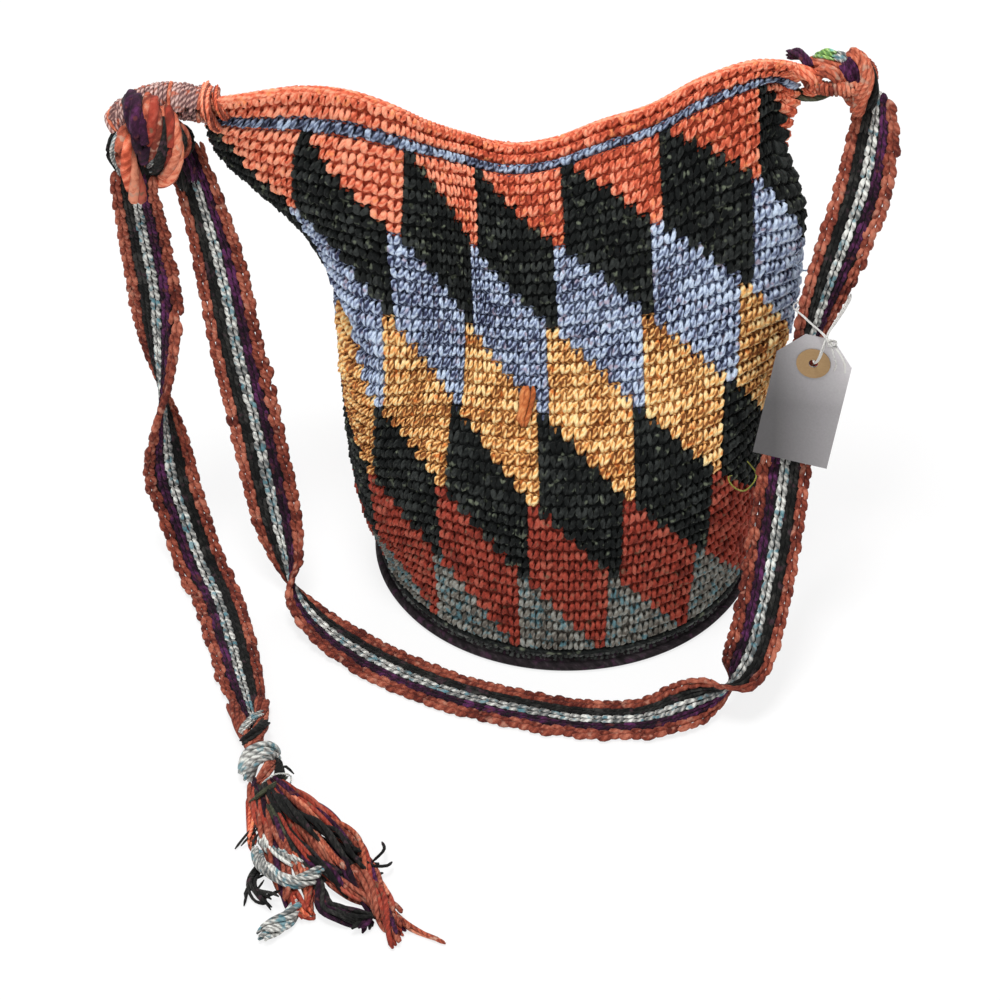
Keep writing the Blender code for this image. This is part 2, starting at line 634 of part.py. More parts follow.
def main():
    clear_scene()
    make_crochet_body()
    wound_tube("left_wrapped_loop", LEFT_LOOP_PATH, LEFT_LOOP_RADIUS, LEFT_LOOP_TURNS, 12, "lavender")
    make_right_rim_loop()
    make_shoulder_strap()
    wound_tube("tassel_whipping", (WHIPPING_START, WHIPPING_END), WHIPPING_RADIUS, WHIPPING_TURNS, 12, "white")
    make_fringe()
    make_hang_tag()
    make_tag_string()


main()
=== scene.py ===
"""The look of a crocheted bucket bag with a woven strap, a knot, a tassel and a bare paper tag.

The wall, the strap and the tassel are built from yarn: each stitch is a small bent strand, laid on the
same surfaces as the solids. Lengths are in millimetres and become metres where they are used.
"""
import math

import bmesh
import bpy
import numpy as np
from mathutils import Matrix, Vector


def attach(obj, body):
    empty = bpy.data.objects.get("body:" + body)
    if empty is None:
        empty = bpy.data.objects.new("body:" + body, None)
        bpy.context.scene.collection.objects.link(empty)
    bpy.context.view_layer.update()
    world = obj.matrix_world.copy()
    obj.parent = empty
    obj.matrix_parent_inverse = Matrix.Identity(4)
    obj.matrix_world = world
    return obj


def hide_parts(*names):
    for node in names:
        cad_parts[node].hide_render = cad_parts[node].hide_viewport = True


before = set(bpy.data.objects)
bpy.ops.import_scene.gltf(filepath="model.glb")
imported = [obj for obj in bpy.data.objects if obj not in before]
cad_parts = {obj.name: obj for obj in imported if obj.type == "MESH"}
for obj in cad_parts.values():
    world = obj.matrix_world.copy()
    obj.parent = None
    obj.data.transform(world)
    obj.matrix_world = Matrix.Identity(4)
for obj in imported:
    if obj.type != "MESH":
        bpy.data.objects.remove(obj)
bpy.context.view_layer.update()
MM = 0.001
RNG = np.random.default_rng(41)

# Crochet grid and sizes of the body, as in the solids
STITCHES = 96
BOTTOM_ROWS = 3
PATTERN_ROWS = 42
ROWS = 48
WAIST_ROW = 17
FRONT_STITCH = -0.6
BASE_RADIUS = 105.0
BASE_EDGE = 8.0
WAIST_HALF_WIDTH = 118.0
WAIST_HEIGHT = 116.0
WALL = 4.5
FRONT_BUNCHING = 4.0
# The mouth's edge as (stitch, x, y, z)
MOUTH = (
    (-32.5, -193, 8, 305), (-28.5, -172, -10, 323), (-24.5, -142, -18, 334), (-20, -115, -26, 337),
    (-16.5, -89, -28, 328), (-12.5, -71, -18, 312), (-8.5, -54, -9, 299), (-4.5, -33, -3, 288),
    (-0.5, -9, -6, 294), (3.5, 16, -12, 310), (7.5, 42, -16, 323), (11.5, 68, -16, 340),
    (15.5, 98, -10, 347), (20.5, 124, 4, 333), (26, 98, 22, 312), (34, 42, 26, 280),
    (42, -20, 28, 255), (48.5, -71, 28, 259), (54, -115, 24, 286), (59.5, -160, 20, 296),
)
# How far each row has come from the waist to the mouth
LOWER_ROWS = (0, 1.5, 3, 10, WAIST_ROW)
UPPER_ROWS = (WAIST_ROW, 24, 31, 38, 44, ROWS)
DEPTH_SHARE_FRONT = (0.0, 0.40, 0.58, 0.70, 0.84, 1.0)
DEPTH_SHARE_BACK = (0.0, 0.05, 0.19, 0.43, 0.76, 1.0)
WIDTH_SHARE_LEFT = (0.0, 0.08, 0.26, 0.62, 0.90, 1.0)
WIDTH_SHARE_RIGHT = (0.0, 0.23, 0.45, 0.68, 0.87, 1.0)
HEIGHT_SHARE_FRONT = (0.0, 0.205, 0.46, 0.715, 0.915, 1.0)
HEIGHT_SHARE_LEFT = (0.0, 0.20, 0.43, 0.61, 0.83, 1.0)
HEIGHT_SHARE_RIGHT = (0.0, 0.20, 0.44, 0.74, 0.93, 1.0)
HEIGHT_SHARE_BACK = (0.0, 0.30, 0.58, 0.83, 0.975, 1.0)
# Slump, creases and bulges of the soft wall
SLUMP_STITCH = -22.0
SLUMP_DROP = 20.0
SLUMP_TURN = 8.0
SLUMP_BULGE = 0.05
CREASE_DEPTH = 6.0
EAR_FOLD_DEPTH = 11.0
BUNCH_SHIFT = 8.0
RIGHT_BULGE = 8.0
# Departures from the solids: millimetres to the left, the (stitch, row) in their middle, and their reach
EAR_PINCH = (10.0, (22, 39.5), (5.0, 3.0))
RIGHT_PULL = (7.0, (24, 20.0), (9.0, 7.0))
LEFT_FLARE = (20.0, (-30, 39.5), (13.0, 6.0))
# Pattern: stitches in one repeat, rows in one slant of a diamond, and its colours from the mouth down
REPEAT = 8
PHASE_ROWS = 7
BANDS = ("coral", "pine", "lavender", "gold", "pine", "rust", "sage")

# Strap, loops and string, as in the solids; the strap as (place, direction across, share of its width)
STRAP_PATH = (
    ((152, 11, 303), (0, -1, 0), 0.50), ((152, 11, 312), (0, -1, 0), 0.50),
    ((152.5, 11, 322), (0, -1, 0), 0.50), ((156, 11, 330), (0, -1, 0), 0.50),
    ((163, 10.5, 331.5), (0, -1, 0), 0.55), ((166, 9, 326), (0.1, -1, 0), 0.62),
    ((164.5, 5, 312), (0.7, -1, 0), 0.85), ((162.5, -3, 294), (1, -0.6, 0), 1.0),
    ((157.5, -15, 266.7), (1, -0.25, 0), 1.05), ((149, -26, 241.3), (1, 0, 0), 1.0),
    ((138.6, -36, 212.6), (1, 0.35, 0), 0.92), ((129.8, -43, 183), (0.7, 0.8, 0), 0.90),
    ((124, -49, 155), (-0.3, 1, 0), 0.92), ((120, -61, 123.5), (-1, 0.3, 0), 0.97),
    ((115, -84, 91.7), (-1, 0, 0), 1.0), ((108.4, -110, 62.6), (-1, -0.1, 0), 1.0),
    ((101.5, -127.5, 40), (-1, -0.1, 0), 1.0), ((94.5, -137, 27), (-0.85, 0.35, -0.35), 0.95),
    ((86, -141.5, 19), (0, 0.5, -0.85), 0.9), ((75, -144.5, 15.2), (0.35, -0.2, -0.9), 0.88),
    ((60, -147.5, 9.8), (0.1, -0.85, -0.5), 0.95), ((40, -149, 3.4), (0, -1, -0.05), 1.0),
    ((8, -148, 2.3), (-0.1, -1, 0), 1.0), ((-30, -139, 2.3), (-0.25, -1, 0), 1.0),
    ((-65, -126, 2.3), (-0.45, -1, 0), 1.0), ((-98, -107, 2.3), (-0.6, -1, 0), 1.0),
    ((-122, -89, 3.6), (-0.65, -1, 0.1), 1.0), ((-139, -74, 7.4), (-0.5, -1, 0.3), 0.96),
    ((-150, -60, 12.5), (-0.15, -1, 0.35), 0.90), ((-155, -50, 20), (0.35, -0.95, 0.25), 0.88),
    ((-158, -42, 32), (0.8, -0.6, 0.1), 0.93), ((-163.5, -33, 57), (1, -0.15, 0), 1.0),
    ((-173, -20, 108), (1, 0, 0), 1.0), ((-182, -9, 152), (1, 0, 0), 1.0),
    ((-189, 3, 192), (1, 0, 0), 0.98), ((-196, 9, 226), (1, 0, 0), 0.85),
    ((-205, 19, 255), (1, 0, 0), 0.75), ((-214, 26, 280), (1, 0, 0.1), 0.8),
    ((-221, 27.2, 299), (1, 0, 0.3), 0.85), ((-226, 22.8, 310), (1, 0, 0.4), 0.85),
    ((-228, 13, 314.8), (1, 0, 0.4), 0.85), ((-229.5, 2.6, 309.5), (1, 0, 0.4), 0.85),
    ((-230.5, -2, 298), (1, 0, 0.3), 0.85), ((-232, -3, 284), (1, 0, 0.1), 0.85),
    ((-234, -3, 266), (1, 0, 0), 0.85), ((-233.5, -1.5, 248), (1, 0, 0), 0.85),
    ((-231.5, 2, 228), (1, 0, 0), 0.92), ((-229.5, 5, 204), (1, 0, 0), 0.97),
    ((-227, 7, 176), (1, -0.1, 0), 1.0), ((-226, 1, 132), (0.7, -1, 0), 0.97),
    ((-225, -4, 96), (-0.4, -1, 0), 0.97), ((-222, -8, 58), (-1, -0.1, 0), 1.0),
    ((-214, -14, 26), (-1, 0, 0), 0.97), ((-206, -28, 8), (-1, -0.1, -0.1), 0.95),
    ((-196, -52, 3.5), (-1, -0.2, 0), 0.92), ((-188, -84, 3), (-1, -0.2, 0), 0.95),
    ((-181, -116, 4), (-1, -0.2, 0), 0.85), ((-175, -142, 6), (-1, -0.2, 0), 0.62),
    ((-171.2, -161.3, 8.6), (-1, -0.2, 0), 0.50),
)
# Stripes as (yarn, distance from the middle, width)
STRIPES = (("strap_orange", -11.7, 6.6), ("strap_pine", -5.7, 5.4), ("strap_white", 0.0, 6.0),
           ("strap_purple", 5.7, 5.4), ("strap_orange", 11.7, 6.6))
LEFT_LOOP_PATH = ((-191.2, 8, 305), (-214, 12, 306.5), (-229, 13, 301), (-243, 14, 287))
RIGHT_LOOP_CENTRE = (143.4, 11, 324)
RIGHT_LOOP_HALF = (17, 13)
STRING_PATH = (
    (148, -76, 190), (147.5, -77, 197), (144.5, -77, 204), (140.5, -75, 209), (136, -70, 211.5),
    (130.5, -62, 211.5), (125.5, -52, 210), (122.6, -45.5, 208.3), (124.5, -41.0, 207.3),
    (131, -37.3, 207), (139, -33.6, 206.8), (147, -29.6, 206.5), (151, -29.4, 206.3), (151, -34, 206.3),
    (147, -45, 207.5), (142.5, -58, 210), (138.6, -68, 211), (136.4, -74, 207.5), (134.3, -75.5, 200),
    (132.3, -73.2, 194.5), (131.6, -69.8, 192), (131.3, -66, 191.6),
    (131.2, -62.8, 192.6), (131.5, -60, 196.5), (132.2, -59, 202),
)

# Yarn colours as (deep, main, pale, fleck) in linear light
YARNS = {
    "coral": ((0.36, 0.052, 0.024), (0.72, 0.142, 0.070), (0.92, 0.36, 0.22), (0.88, 0.30, 0.12)),
    "pine": ((0.002, 0.003, 0.003), (0.0065, 0.0080, 0.0075), (0.032, 0.036, 0.034), (0.15, 0.17, 0.12)),
    "lavender": ((0.030, 0.034, 0.075), (0.29, 0.35, 0.51), (0.60, 0.70, 0.84), (0.42, 0.34, 0.42)),
    "gold": ((0.21, 0.066, 0.018), (0.90, 0.45, 0.140), (0.94, 0.74, 0.38), (0.72, 0.20, 0.04)),
    # rust and sage sit low on the wall and are set darker with duller pale plies: partly their own colour,
    # partly painted shade of the low wall
    "rust": ((0.17, 0.025, 0.016), (0.34, 0.047, 0.028), (0.42, 0.100, 0.065), (0.16, 0.10, 0.06)),
    "sage": ((0.10, 0.088, 0.074), (0.22, 0.205, 0.175), (0.33, 0.34, 0.31), (0.09, 0.22, 0.26)),
    "slate": ((0.014, 0.016, 0.034), (0.17, 0.21, 0.32), (0.44, 0.54, 0.68), (0.05, 0.06, 0.10)),
    "border": ((0.012, 0.013, 0.013), (0.058, 0.064, 0.060), (0.15, 0.16, 0.15), (0.05, 0.02, 0.05)),
    # strap_orange and strap_white are set dark: partly their own colour, partly painted shade for the strap
    # that lies low on the floor
    "strap_orange": ((0.085, 0.015, 0.011), (0.26, 0.058, 0.034), (0.48, 0.16, 0.10), (0.44, 0.20, 0.14)),
    "knot_orange": ((0.17, 0.032, 0.020), (0.50, 0.118, 0.062), (0.74, 0.28, 0.17), (0.50, 0.30, 0.22)),
    "strap_pine": ((0.003, 0.003, 0.003), (0.011, 0.011, 0.010), (0.042, 0.040, 0.037), (0.06, 0.03, 0.04)),
    "strap_white": ((0.10, 0.11, 0.11), (0.37, 0.36, 0.34), (0.78, 0.79, 0.74), (0.09, 0.24, 0.29)),
    "strap_purple": ((0.007, 0.002, 0.006), (0.036, 0.008, 0.027), (0.115, 0.026, 0.1), (0.12, 0.03, 0.03)),
    "loop_grey": ((0.14, 0.07, 0.07), (0.39, 0.22, 0.19), (0.64, 0.44, 0.40), (0.46, 0.10, 0.045)),
    "string_yarn": ((0.40, 0.39, 0.37), (0.66, 0.65, 0.62), (0.80, 0.79, 0.76), (0.5, 0.5, 0.5)),
    "mend": ((0.28, 0.07, 0.02), (0.48, 0.125, 0.035), (0.66, 0.25, 0.09), (0.6, 0.17, 0.05)),
    "lime_thread": ((0.20, 0.20, 0.03), (0.42, 0.42, 0.08), (0.60, 0.58, 0.18), (0.3, 0.3, 0.05)),
    "foot_dark": ((0.006, 0.004, 0.005), (0.020, 0.014, 0.017), (0.060, 0.050, 0.055), (0.05, 0.02, 0.04)),
    "olive": ((0.020, 0.022, 0.014), (0.055, 0.060, 0.036), (0.13, 0.14, 0.09), (0.05, 0.06, 0.03)),
    "lime": ((0.10, 0.22, 0.06), (0.30, 0.50, 0.13), (0.54, 0.72, 0.40), (0.20, 0.50, 0.45)),
}
# How far the plies of a yarn differ in shade
PLAIN_MARL = 0.14
MARLED = {"gold": 0.42, "lavender": 0.42, "coral": 0.26, "sage": 0.30, "slate": 0.34, "loop_grey": 0.5,
          "strap_white": 0.30, "rust": 0.18, "lime": 0.3}


def ease(low, high, x):
    t = np.clip((x - low) / (high - low), 0.0, 1.0)
    return t * t * (3.0 - 2.0 * t)


def hermite(a, b, slope_a, slope_b, span, t):
    return ((2 * t**3 - 3 * t * t + 1) * a + (t**3 - 2 * t * t + t) * span * slope_a
            + (3 * t * t - 2 * t**3) * b + (t**3 - t * t) * span * slope_b)


def spline(keys, values, x):
    """A smooth curve through (key, value) pairs, for arrays of places."""
    keys = np.asarray(keys, float)
    values = np.asarray(values, float)
    low = np.maximum(np.arange(len(keys)) - 1, 0)
    high = np.minimum(np.arange(len(keys)) + 1, len(keys) - 1)
    slopes = (values[high] - values[low]) / (keys[high] - keys[low])
    x = np.clip(x, keys[0], keys[-1])
    k = np.clip(np.searchsorted(keys, x, side="right") - 1, 0, len(keys) - 2)
    span = keys[k + 1] - keys[k]
    return hermite(values[k], values[k + 1], slopes[k], slopes[k + 1], span, (x - keys[k]) / span)


def around(stitch, centre):
    """How many stitches a stitch lies to the right of another, the short way round."""
    return (stitch - centre + STITCHES / 2) % STITCHES - STITCHES / 2


def patch(stitch, row, size, middle, reach):
    """A soft spot on the wall: its size in the middle, and less with each stitch and row away from it."""
    return (size * np.exp(-((row - middle[1]) / reach[1]) ** 2)
            * np.exp(-(around(stitch, middle[0]) / reach[0]) ** 2))


def mouth_line(stitch):
    count = len(MOUTH)
    table = np.asarray(MOUTH, float)
    keys = np.concatenate([table[-1:, 0] - STITCHES, table[:, 0], table[:2, 0] + STITCHES])
    places = np.concatenate([table[-1:, 1:], table[:, 1:], table[:2, 1:]])
    slopes = np.zeros_like(places)
    slopes[1:-1] = (places[2:] - places[:-2]) / (keys[2:] - keys[:-2])[:, None]
    stitch = (stitch - MOUTH[0][0]) % STITCHES + MOUTH[0][0]
    k = np.clip(np.searchsorted(keys, stitch, side="right") - 1, 1, count)
    span = (keys[k + 1] - keys[k])[..., None]
    t = (stitch - keys[k])[..., None] / span
    return hermite(places[k], places[k + 1], slopes[k], slopes[k + 1], span, t)


def round_angle(stitch):
    even = np.radians(360.0 / STITCHES * (stitch - FRONT_STITCH))
    return even - math.radians(FRONT_BUNCHING) * np.sin(2.0 * even)


def lower_wall(stitch, row):
    half_width = spline(LOWER_ROWS, (BASE_RADIUS - BASE_EDGE, BASE_RADIUS - 1.5, BASE_RADIUS,
                                     (BASE_RADIUS + WAIST_HALF_WIDTH) / 2, WAIST_HALF_WIDTH), row)
    half_depth = spline(LOWER_ROWS, (BASE_RADIUS - BASE_EDGE, BASE_RADIUS - 2, BASE_RADIUS,
                                     BASE_RADIUS, BASE_RADIUS), row)
    height = spline(LOWER_ROWS, (0, 4, 13, WAIST_HEIGHT * 0.56, WAIST_HEIGHT), row)
    angle = round_angle(stitch)
    return np.stack([half_width * np.sin(angle), -half_depth * np.cos(angle), height], -1)


def upper_wall(stitch, row):
    waist = lower_wall(stitch, np.full_like(row, WAIST_ROW))
    angle = round_angle(stitch)
    front = (1.0 + np.cos(angle)) / 2.0
    right = (1.0 + np.sin(angle)) / 2.0
    side = np.sin(angle) ** 2
    ahead = np.where(np.cos(angle) > 0, 1.0, 0.0)

    def mixed(share, first, second):
        return share * spline(UPPER_ROWS, first, row) + (1 - share) * spline(UPPER_ROWS, second, row)

    width = mixed(right, WIDTH_SHARE_RIGHT, WIDTH_SHARE_LEFT)
    depth = mixed(front, DEPTH_SHARE_FRONT, DEPTH_SHARE_BACK)
    facing = mixed(ahead, HEIGHT_SHARE_FRONT, HEIGHT_SHARE_BACK)
    flank = mixed(right, HEIGHT_SHARE_RIGHT, HEIGHT_SHARE_LEFT)
    height = side * flank + (1 - side) * facing
    return waist + np.stack([width, depth, height], -1) * (mouth_line(stitch) - waist)


def plain_wall(stitch, row):
    return np.where((row <= WAIST_ROW)[..., None], lower_wall(stitch, row), upper_wall(stitch, row))


def smooth_wall(stitch, row):
    """The middle surface of the wall in millimetres, with its slump but without its creases."""
    point = plain_wall(stitch, row)
    near = sum(plain_wall(stitch, np.clip(row + step, 0, ROWS)) for step in (-3, -1.5, 0, 1.5, 3)) / 5
    blend = (ease(4, 9, row) * (1 - ease(40, 45, row)))[..., None]
    point = point * (1 - blend) + near * blend
    slump = (np.exp(-(around(stitch, SLUMP_STITCH) / 6.5) ** 2)
             * ease(3, 12, row) * (1 - ease(25, 37, row)))
    turn = np.radians(SLUMP_TURN * slump)
    swell = 1.0 + SLUMP_BULGE * slump
    x = (np.cos(turn) * point[..., 0] - np.sin(turn) * point[..., 1]) * swell
    y = (np.sin(turn) * point[..., 0] + np.cos(turn) * point[..., 1]) * swell
    bunch = np.exp(-(around(stitch, -13) / 5.0) ** 2) * ease(17, 30, row) * (1 - ease(40, 48, row))
    bulge = np.maximum(0.0, np.sin(round_angle(stitch))) ** 4 * ease(17, 27, row) * (1 - ease(38, 47, row))
    flare = patch(stitch, row, *LEFT_FLARE) * (1 - ease(44, 48, row))
    drawn = patch(stitch, row, *EAR_PINCH) + flare + patch(stitch, row, *RIGHT_PULL)
    across = x + BUNCH_SHIFT * bunch + RIGHT_BULGE * bulge - drawn
    return np.stack([across, y, point[..., 2] - SLUMP_DROP * slump], -1)


def fold_offset(stitch, row):
    """How far the creases press the wall in, in millimetres."""
    crease_row = 31.0 - 0.5 * around(stitch, -27.0)
    along = ease(-40, -30, around(stitch, 0)) * (1 - ease(-21, -17, around(stitch, 0)))
    crease = CREASE_DEPTH * np.exp(-((row - crease_row) / 1.6) ** 2) * along
    ear_fold = (EAR_FOLD_DEPTH * np.exp(-(around(stitch, 18.3) / 2.4) ** 2)
                * ease(35, 41, row) * (1 - ease(45, 47.5, row)))
    return -crease - ear_fold


class Wall:
    """The wall's surface sampled once, four places to a stitch and a row."""

    STEP = 0.25

    def __init__(self):
        columns = np.arange(0, STITCHES, self.STEP)
        rows = np.arange(0, ROWS + self.STEP / 2, self.STEP)
        u, v = np.meshgrid(columns, rows, indexing="ij")
        along = smooth_wall(u + 0.5, v) - smooth_wall(u - 0.5, v)
        up = smooth_wall(u, np.minimum(v + 0.5, ROWS)) - smooth_wall(u, np.maximum(v - 0.5, 0))
        normal = np.cross(along, up)
        self.normals = normal / np.linalg.norm(normal, axis=-1, keepdims=True)
        self.places = smooth_wall(u, v) + self.normals * fold_offset(u, v)[..., None]

    def at(self, u, v, out):
        """Places in metres for stitch u, row v and out millimetres off the surface."""
        a = (u / self.STEP) % len(self.places)
        b = v / self.STEP
        i = np.floor(a).astype(int) % len(self.places)
        j = np.clip(np.floor(b).astype(int), 0, self.places.shape[1] - 2)
        s = (a - np.floor(a))[..., None]
        t = (b - j)[..., None]
        n = (i + 1) % len(self.places)

        def mix(grid):
            return ((1 - s) * (1 - t) * grid[i, j] + s * (1 - t) * grid[n, j]
                    + (1 - s) * t * grid[i, j + 1] + s * t * grid[n, j + 1])

        normal = mix(self.normals)
        normal /= np.linalg.norm(normal, axis=-1, keepdims=True)
        return (mix(self.places) + normal * np.asarray(out)[..., None]) * MM


WALL_SURFACE = Wall()


def stitch_colour(stitch, row):
    """The yarn of one stitch; rows count up from the base edge."""
    if row < BOTTOM_ROWS:
        return "border"
    if row >= BOTTOM_ROWS + PATTERN_ROWS:
        return ("slate", "coral", "coral")[min(row - BOTTOM_ROWS - PATTERN_ROWS, 2)]
    down = BOTTOM_ROWS + PATTERN_ROWS - 1 - row
    phase, step = divmod(down, PHASE_ROWS)
    place = (stitch + phase) % REPEAT
    return BANDS[phase + 1] if place <= step else BANDS[phase]


def add_node(tree, kind, inputs=None, **settings):
    """A new node with its settings, and with its inputs as values or as other nodes' outputs."""
    node = tree.nodes.new(kind)
    for name, value in settings.items():
        setattr(node, name, value)
    for key, value in (inputs or {}).items():
        if isinstance(value, bpy.types.NodeSocket):
            tree.links.new(value, node.inputs[key])
        else:
            node.inputs[key].default_value = value
    return node


def new_material(name, values):
    """A material, and its Principled shader with these values."""
    made = bpy.data.materials.new(name)
    made.use_nodes = True
    shader = made.node_tree.nodes["Principled BSDF"]
    for key, value in values.items():
        shader.inputs[key].default_value = value
    return made, shader


def spun_yarn_group():
    """Colour and relief of spun cotton: plies that twist along a strand, shade changes and loose fibres."""
    group = bpy.data.node_groups.new("spun_yarn", "ShaderNodeTree")
    for name in ("Deep", "Main", "Pale", "Fleck"):
        group.interface.new_socket(name=name, in_out="INPUT", socket_type="NodeSocketColor")
    for name in ("Fleck Share", "Marl"):
        group.interface.new_socket(name=name, in_out="INPUT", socket_type="NodeSocketFloat")
    for name, kind in (("Colour", "NodeSocketColor"), ("Roughness", "NodeSocketFloat"),
                       ("Normal", "NodeSocketVector")):
        group.interface.new_socket(name=name, in_out="OUTPUT", socket_type=kind)
    inside = add_node(group, "NodeGroupInput").outputs
    tone = add_node(group, "ShaderNodeAttribute", attribute_name="tone")
    uv = add_node(group, "ShaderNodeUVMap", uv_map="strand")
    along, across, _ = add_node(group, "ShaderNodeSeparateXYZ", {0: uv.outputs["UV"]}).outputs
    place = add_node(group, "ShaderNodeTexCoord").outputs["Object"]

    def maths(operation, *values, clamp=False):
        return add_node(group, "ShaderNodeMath", dict(enumerate(values)), operation=operation,
                        use_clamp=clamp).outputs[0]

    def noise(scale, detail, rough=0.55, vector=place):
        node = add_node(group, "ShaderNodeTexNoise", {"Scale": scale, "Detail": detail, "Roughness": rough,
                                                      "Vector": vector})
        return node.outputs["Fac"]

    def blend(factor, a, b):
        node = add_node(group, "ShaderNodeMix", {"Factor": factor, "A": a, "B": b}, data_type="RGBA")
        return node.outputs["Result"]

    def add_shift(values, amount, shade, clamp=False):
        return maths("MULTIPLY_ADD", maths("SUBTRACT", values, 0.5), amount, shade, clamp=clamp)

    turned = maths("ADD", along, across)
    ply = maths("SINE", maths("MULTIPLY", turned, math.tau * 2))
    length = add_node(group, "ShaderNodeCombineXYZ", {"X": maths("MULTIPLY", along, 1.3),
                                                      "Y": maths("MULTIPLY", turned, 9.0)})
    streaks = noise(1.0, 2.0, 0.5, length.outputs[0])
    fibres = noise(1500, 2, 0.7)
    shade = add_shift(noise(55, 2), 0.9, tone.outputs["Fac"])
    shade = add_shift(noise(330, 3), 1.2, shade)
    shade = maths("ADD", maths("MULTIPLY", ply, inside["Marl"]), shade)
    shade = add_shift(streaks, 0.9, shade)
    shade = add_shift(fibres, 0.5, shade, clamp=True)
    low = maths("MULTIPLY", shade, 2.0, clamp=True)
    high = maths("MULTIPLY_ADD", shade, 2.0, -1.0, clamp=True)
    colour = blend(high, blend(low, inside["Deep"], inside["Main"]), inside["Pale"])
    limit = maths("SUBTRACT", 0.72, maths("MULTIPLY", inside["Fleck Share"], 0.5))
    speck = maths("MULTIPLY", maths("SUBTRACT", noise(210, 1), limit), 9.0, clamp=True)
    height = maths("MULTIPLY_ADD", fibres, 0.7, maths("MULTIPLY", ply, 0.3))
    height = maths("MULTIPLY_ADD", streaks, 0.9, height)
    bump = add_node(group, "ShaderNodeBump", {"Strength": 0.75, "Distance": 0.0006, "Height": height})
    add_node(group, "NodeGroupOutput", {
        "Colour": blend(maths("MULTIPLY", speck, 0.8), colour, inside["Fleck"]),
        "Roughness": maths("MULTIPLY_ADD", fibres, 0.25, 0.72),
        "Normal": bump.outputs["Normal"],
    })
    return group


SPUN_YARN = spun_yarn_group()


def yarn_material(name, fleck_share=0.2):
    """The material of a yarn, made at its first use."""
    found = bpy.data.materials.get(name)
    if found:
        return found
    made, shader = new_material(name, {"Sheen Weight": 0.03, "Sheen Roughness": 0.5,
                                       "Specular IOR Level": 0.15})
    values = {"Fleck Share": fleck_share, "Marl": MARLED.get(name, PLAIN_MARL)}
    for key, colour in zip(("Deep", "Main", "Pale", "Fleck"), YARNS[name]):
        values[key] = (*colour, 1.0)
    group = add_node(made.node_tree, "ShaderNodeGroup", values, node_tree=SPUN_YARN)
    for output, into in (("Colour", "Base Color"), ("Roughness", "Roughness"), ("Normal", "Normal")):
        made.node_tree.links.new(group.outputs[output], shader.inputs[into])
    return made


def mesh_from(bm, name):
    mesh = bpy.data.meshes.new(name)
    bm.to_mesh(mesh)
    bm.free()
    return mesh


def coordinates(mesh):
    flat = np.empty(len(mesh.vertices) * 3)
    mesh.vertices.foreach_get("co", flat)
    return flat.reshape(-1, 3)


def corner_points(mesh):
    corners = np.empty(len(mesh.loops), int)
    mesh.loops.foreach_get("vertex_index", corners)
    return corners


def set_tone(mesh, values):
    """Stores how pale the yarn shows at each point, from 0 to 1: its own tone, with the painted shade and
    light that the callers add.
    """
    tone = mesh.attributes.new("tone", "FLOAT", "POINT")
    tone.data.foreach_set("value", np.asarray(values).astype(np.float32).ravel())


def strand(bm, layer, path, radii, sides=6, flat=1.0):
    """One short length of yarn as a closed tube, made by drawing its end cap along the path."""
    path = [Vector(p) for p in path]
    order = list(bmesh.ops.create_circle(bm, cap_ends=True, segments=sides, radius=1.0)["verts"])
    cap = order[0].link_faces[0]
    rings = [order]
    for k in range(1, len(path)):
        bits = bmesh.ops.extrude_face_region(bm, geom=[cap])["geom"]
        new_cap = [b for b in bits if isinstance(b, bmesh.types.BMFace)][0]
        if k > 1:
            bmesh.ops.delete(bm, geom=[cap], context="FACES_ONLY")
        order = [[e.other_vert(vert) for e in vert.link_edges if e.other_vert(vert) in new_cap.verts][0]
                 for vert in order]
        cap = new_cap
        rings.append(order)
    for k, place in enumerate(path):
        tangent = (path[min(k + 1, len(path) - 1)] - path[max(k - 1, 0)]).normalized()
        side = tangent.cross(Vector((0, 0, 1))).normalized()
        up = side.cross(tangent)
        for j, vert in enumerate(rings[k]):
            angle = math.tau * j / sides
            vert.co = place + (side * math.cos(angle) + up * math.sin(angle) * flat) * radii[k]
    where = {vert: (k / (len(path) - 1), j / sides)
             for k, ring in enumerate(rings) for j, vert in enumerate(ring)}
    for face in {face for ring in rings for vert in ring for face in vert.link_faces}:
        spots = [where[loop.vert] for loop in face.loops]
        wrap = max(s[1] for s in spots) - min(s[1] for s in spots) > 0.5 and len(face.verts) == 4
        for loop, spot in zip(face.loops, spots):
            loop[layer].uv = (spot[0], spot[1] + (1.0 if wrap and spot[1] < 0.5 else 0.0))


def pattern_of(strands):
    """A mesh that holds one repeat of a fabric, and the points in each of its (path, radii, sides, flat)."""
    bm = bmesh.new()
    layer = bm.loops.layers.uv.new("strand")
    counts = []
    for path, radii, sides, flat in strands:
        start = len(bm.verts)
        strand(bm, layer, path, radii, sides, flat)
        counts.append(len(bm.verts) - start)
    bmesh.ops.recalc_face_normals(bm, faces=bm.faces)
    return mesh_from(bm, "repeat"), counts


def add_piece(name, mesh, node, smooth=True):
    if smooth:
        mesh.shade_smooth()
    made = bpy.data.objects.new(name, mesh)
    bpy.context.scene.collection.objects.link(made)
    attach(made, "root")
    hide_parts(*([node] if isinstance(node, str) else node))
    return made


def lay_out(name, repeat, cells, shape, tones, material, node, shadow=0.0):
    """Repeats a small mesh once for each cell, then shape() bends all copies onto their surface."""
    mesh, counts = repeat
    bm = bmesh.new()
    for _ in range(len(cells)):
        bm.from_mesh(mesh, face_normals=False, vertex_normals=False)
    whole = mesh_from(bm, name)
    flat = coordinates(mesh)[None]
    places = shape(flat, cells)
    whole.vertices.foreach_set("co", places.astype(np.float32).ravel())
    values = [np.repeat(tones[:, k:k + 1], count, axis=1) for k, count in enumerate(counts)]
    set_tone(whole, np.concatenate(values, axis=1) + shadow * np.minimum(flat[..., 2], 0.6))
    whole.materials.append(material)
    whole.update()
    return add_piece(name, whole, node)


